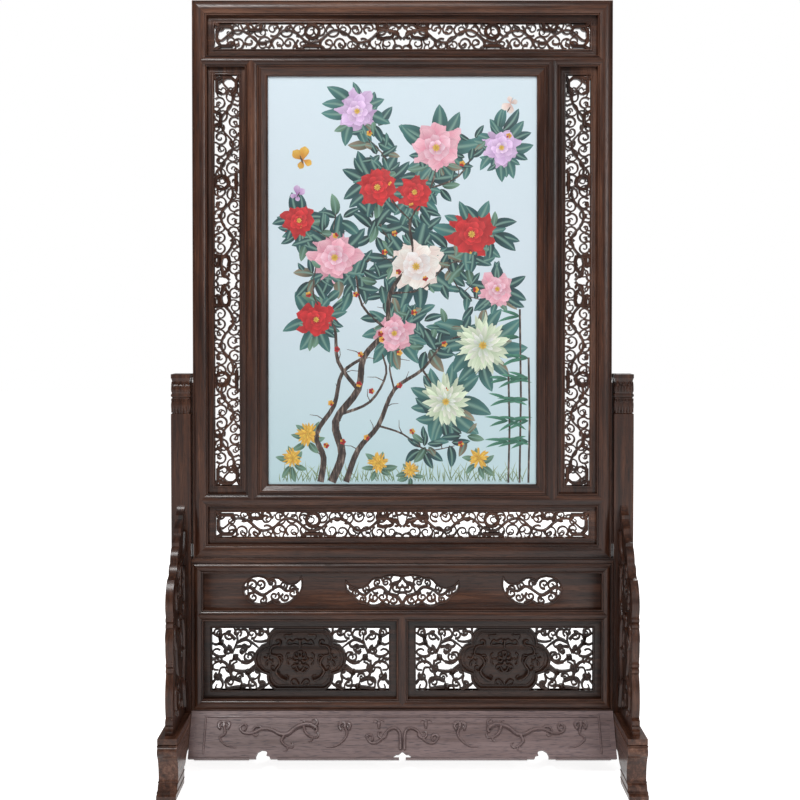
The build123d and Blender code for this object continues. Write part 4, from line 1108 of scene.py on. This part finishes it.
def stitch_butterflies(stitches):
    for x, y, size, turn, _, tint in BUTTERFLIES:
        for angle, share in ((62, 1.0), (118, 1.0), (-48, 0.7), (228, 0.7)):
            wing = size * share
            stitches.petal(x, y, angle + turn, wing, wing * 0.72, *tint, level=0.8, point=1.6)
        stitches.petal(x, y - size * 0.3, 90 + turn, size * 0.7, size * 0.12, *BUTTERFLY_BODY, 1.2)


def needlework(place):
    """Every flower, leaf and butterfly, on both sides of the silk."""
    stitches = Stitching(11)
    stitch_leaves(stitches, stitches.random)
    stitch_flowers(stitches, stitches.random)
    stitch_bamboo(stitches, stitches.random)
    stitch_grass(stitches, stitches.random)
    stitch_butterflies(stitches)
    thread = thread_finish("stitch_thread", 26.0, 0.42)
    piece("needlework", double_sided(stitches.work), place, thread, "screen")


def silk_ground(place):
    """The bare silk, a thin sheet about the drawing's plane."""
    work = bmesh.new()
    bmesh.ops.create_grid(work, x_segments=20, y_segments=30, size=0.5, calc_uvs=True)
    bmesh.ops.scale(work, vec=(SILK_SIZE[0] * MM, SILK_SIZE[1] * MM, 1), verts=work.verts)
    bmesh.ops.solidify(work, geom=work.faces[:], thickness=SILK_THICK * MM)
    levels = [vert.co.z for vert in work.verts]
    bmesh.ops.translate(work, vec=(0, 0, -(min(levels) + max(levels)) / 2), verts=work.verts)
    silk = piece("silk_ground", [work], place, silk_finish(), "screen")
    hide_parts("embroidered_silk")


def branch_stitches(place):
    """Branches, twigs, bamboo stems and feelers in dark thread, close to the silk."""
    lines = [smooth_line(*branch) for branch in BRANCHES]
    twigs = random.Random(4)
    for points, _, _ in BRANCHES:
        for x, y, _ in smooth_line(points)[4:-1:3]:
            heading = twigs.uniform(20, 160)
            bends = [(twigs.uniform(30, 60), twigs.choice((-50, 50)))]
            lines.append(scroll(x, y, heading, bends, 1.4, 0.5))
    for root, top in BAMBOO_STEMS:
        middle = (root + 3, (top + GROUND) / 2 + 1)
        lines.append(straight((root, GROUND), middle, (root, top), width=2.6))
    for x, y, _, _, way, _ in BUTTERFLIES:
        for heading in (80, 110):
            lines.append(scroll(x, y, heading, [(30, 30 * way)], 0.4, 0.3))
    low, middle, high = [rise * MM for rise in BRANCH_RISE]
    work = carve(lines, "relief", half_width=1.0, depth=0.12)
    bmesh.ops.translate(work, vec=(0, 0, middle), verts=work.verts)
    for vert in work.verts:
        vert.co.z = max(low, min(high, vert.co.z))
    piece("branch_stitches", double_sided(work), place, dark_thread(), "screen")


on_silk = standing(0, SILK_CENTRE)
silk_ground(on_silk)
needlework(on_silk)
branch_stitches(on_silk)


# Stage, light and camera
FLOOR_REACH = 14.0
FLOOR_GLOW = 0.86
WORLD_LIGHT = 0.20
# each lamp: its place, the height on the middle line that it faces, its width and its power
LAMPS = {
    "key_lamp": ((-1.3, -3.0, 3.9), 0.9, 1.1, 98),
    "crown_lamp": ((0.2, -1.7, 3.6), 0.8, 0.9, 13),
    "fill_lamp": ((2.4, -3.4, 1.9), 0.9, 1.6, 44),
    "back_lamp": ((0.9, 3.2, 3.4), 1.0, 1.6, 85),
}
CAMERA_PLACE = (-0.0058, -2.7777, 1.1187)
CAMERA_DOWN = 0.98
LENS = 50.28
SENSOR = 36.0
LENS_SHIFT = -0.08


def make_floor():
    work = bmesh.new()
    bmesh.ops.create_grid(work, x_segments=1, y_segments=1, size=FLOOR_REACH)
    mesh = set_up(work, Matrix(), "floor")
    pale = Finish("pale_floor", Base_Color=(0.85, 0.85, 0.85, 1), Roughness=0.9, Specular_IOR_Level=0.1)
    surface = Tone(pale, pale.shader.outputs[0])
    seen = pale.any_ray("Camera", "Glossy", "Transmission")
    glow = pale.node("ShaderNodeEmission", None, {"Color": (1, 1, 1, 1), "Strength": FLOOR_GLOW})
    lit = pale.node("ShaderNodeAddShader", None, {0: surface, 1: glow})
    mix = pale.node("ShaderNodeMixShader", None, {0: seen, 1: surface, 2: lit})
    pale.tree.links.new(mix.socket, pale.tree.nodes["Material Output"].inputs["Surface"])
    floor = bpy.data.objects.new("floor", mesh)
    scene.collection.objects.link(floor)
    mesh.materials.append(pale.material)


def make_world():
    world = bpy.data.worlds.new("studio")
    world.use_nodes = True
    scene.world = world
    white = Nodes(world.node_tree)
    strength = white.any_ray("Camera", "Transmission") * (1 - WORLD_LIGHT) + WORLD_LIGHT
    background = white.tree.nodes["Background"]
    background.inputs["Color"].default_value = (1, 1, 1, 1)
    white.tree.links.new(strength.socket, background.inputs["Strength"])


def lamp(name, place, aim, width, power):
    """A soft square lamp that faces the object's middle line at a height."""
    light = bpy.data.lights.new(name, "AREA")
    light.shape = "SQUARE"
    light.size = width
    light.energy = power
    made = bpy.data.objects.new(name, light)
    made.location = place
    made.rotation_euler = (Vector((0, 0, aim)) - Vector(place)).to_track_quat("-Z", "Y").to_euler()
    scene.collection.objects.link(made)


make_floor()
make_world()
for name, settings in LAMPS.items():
    lamp(name, *settings)

view = bpy.data.cameras.new("photo_view")
view.lens = LENS
view.sensor_width = SENSOR
view.shift_y = LENS_SHIFT
camera = bpy.data.objects.new("photo_view", view)
camera.location = CAMERA_PLACE
camera.rotation_euler = (math.radians(90 - CAMERA_DOWN), 0, 0)
scene.collection.objects.link(camera)
scene.camera = camera
scene.view_settings.view_transform = "Standard"
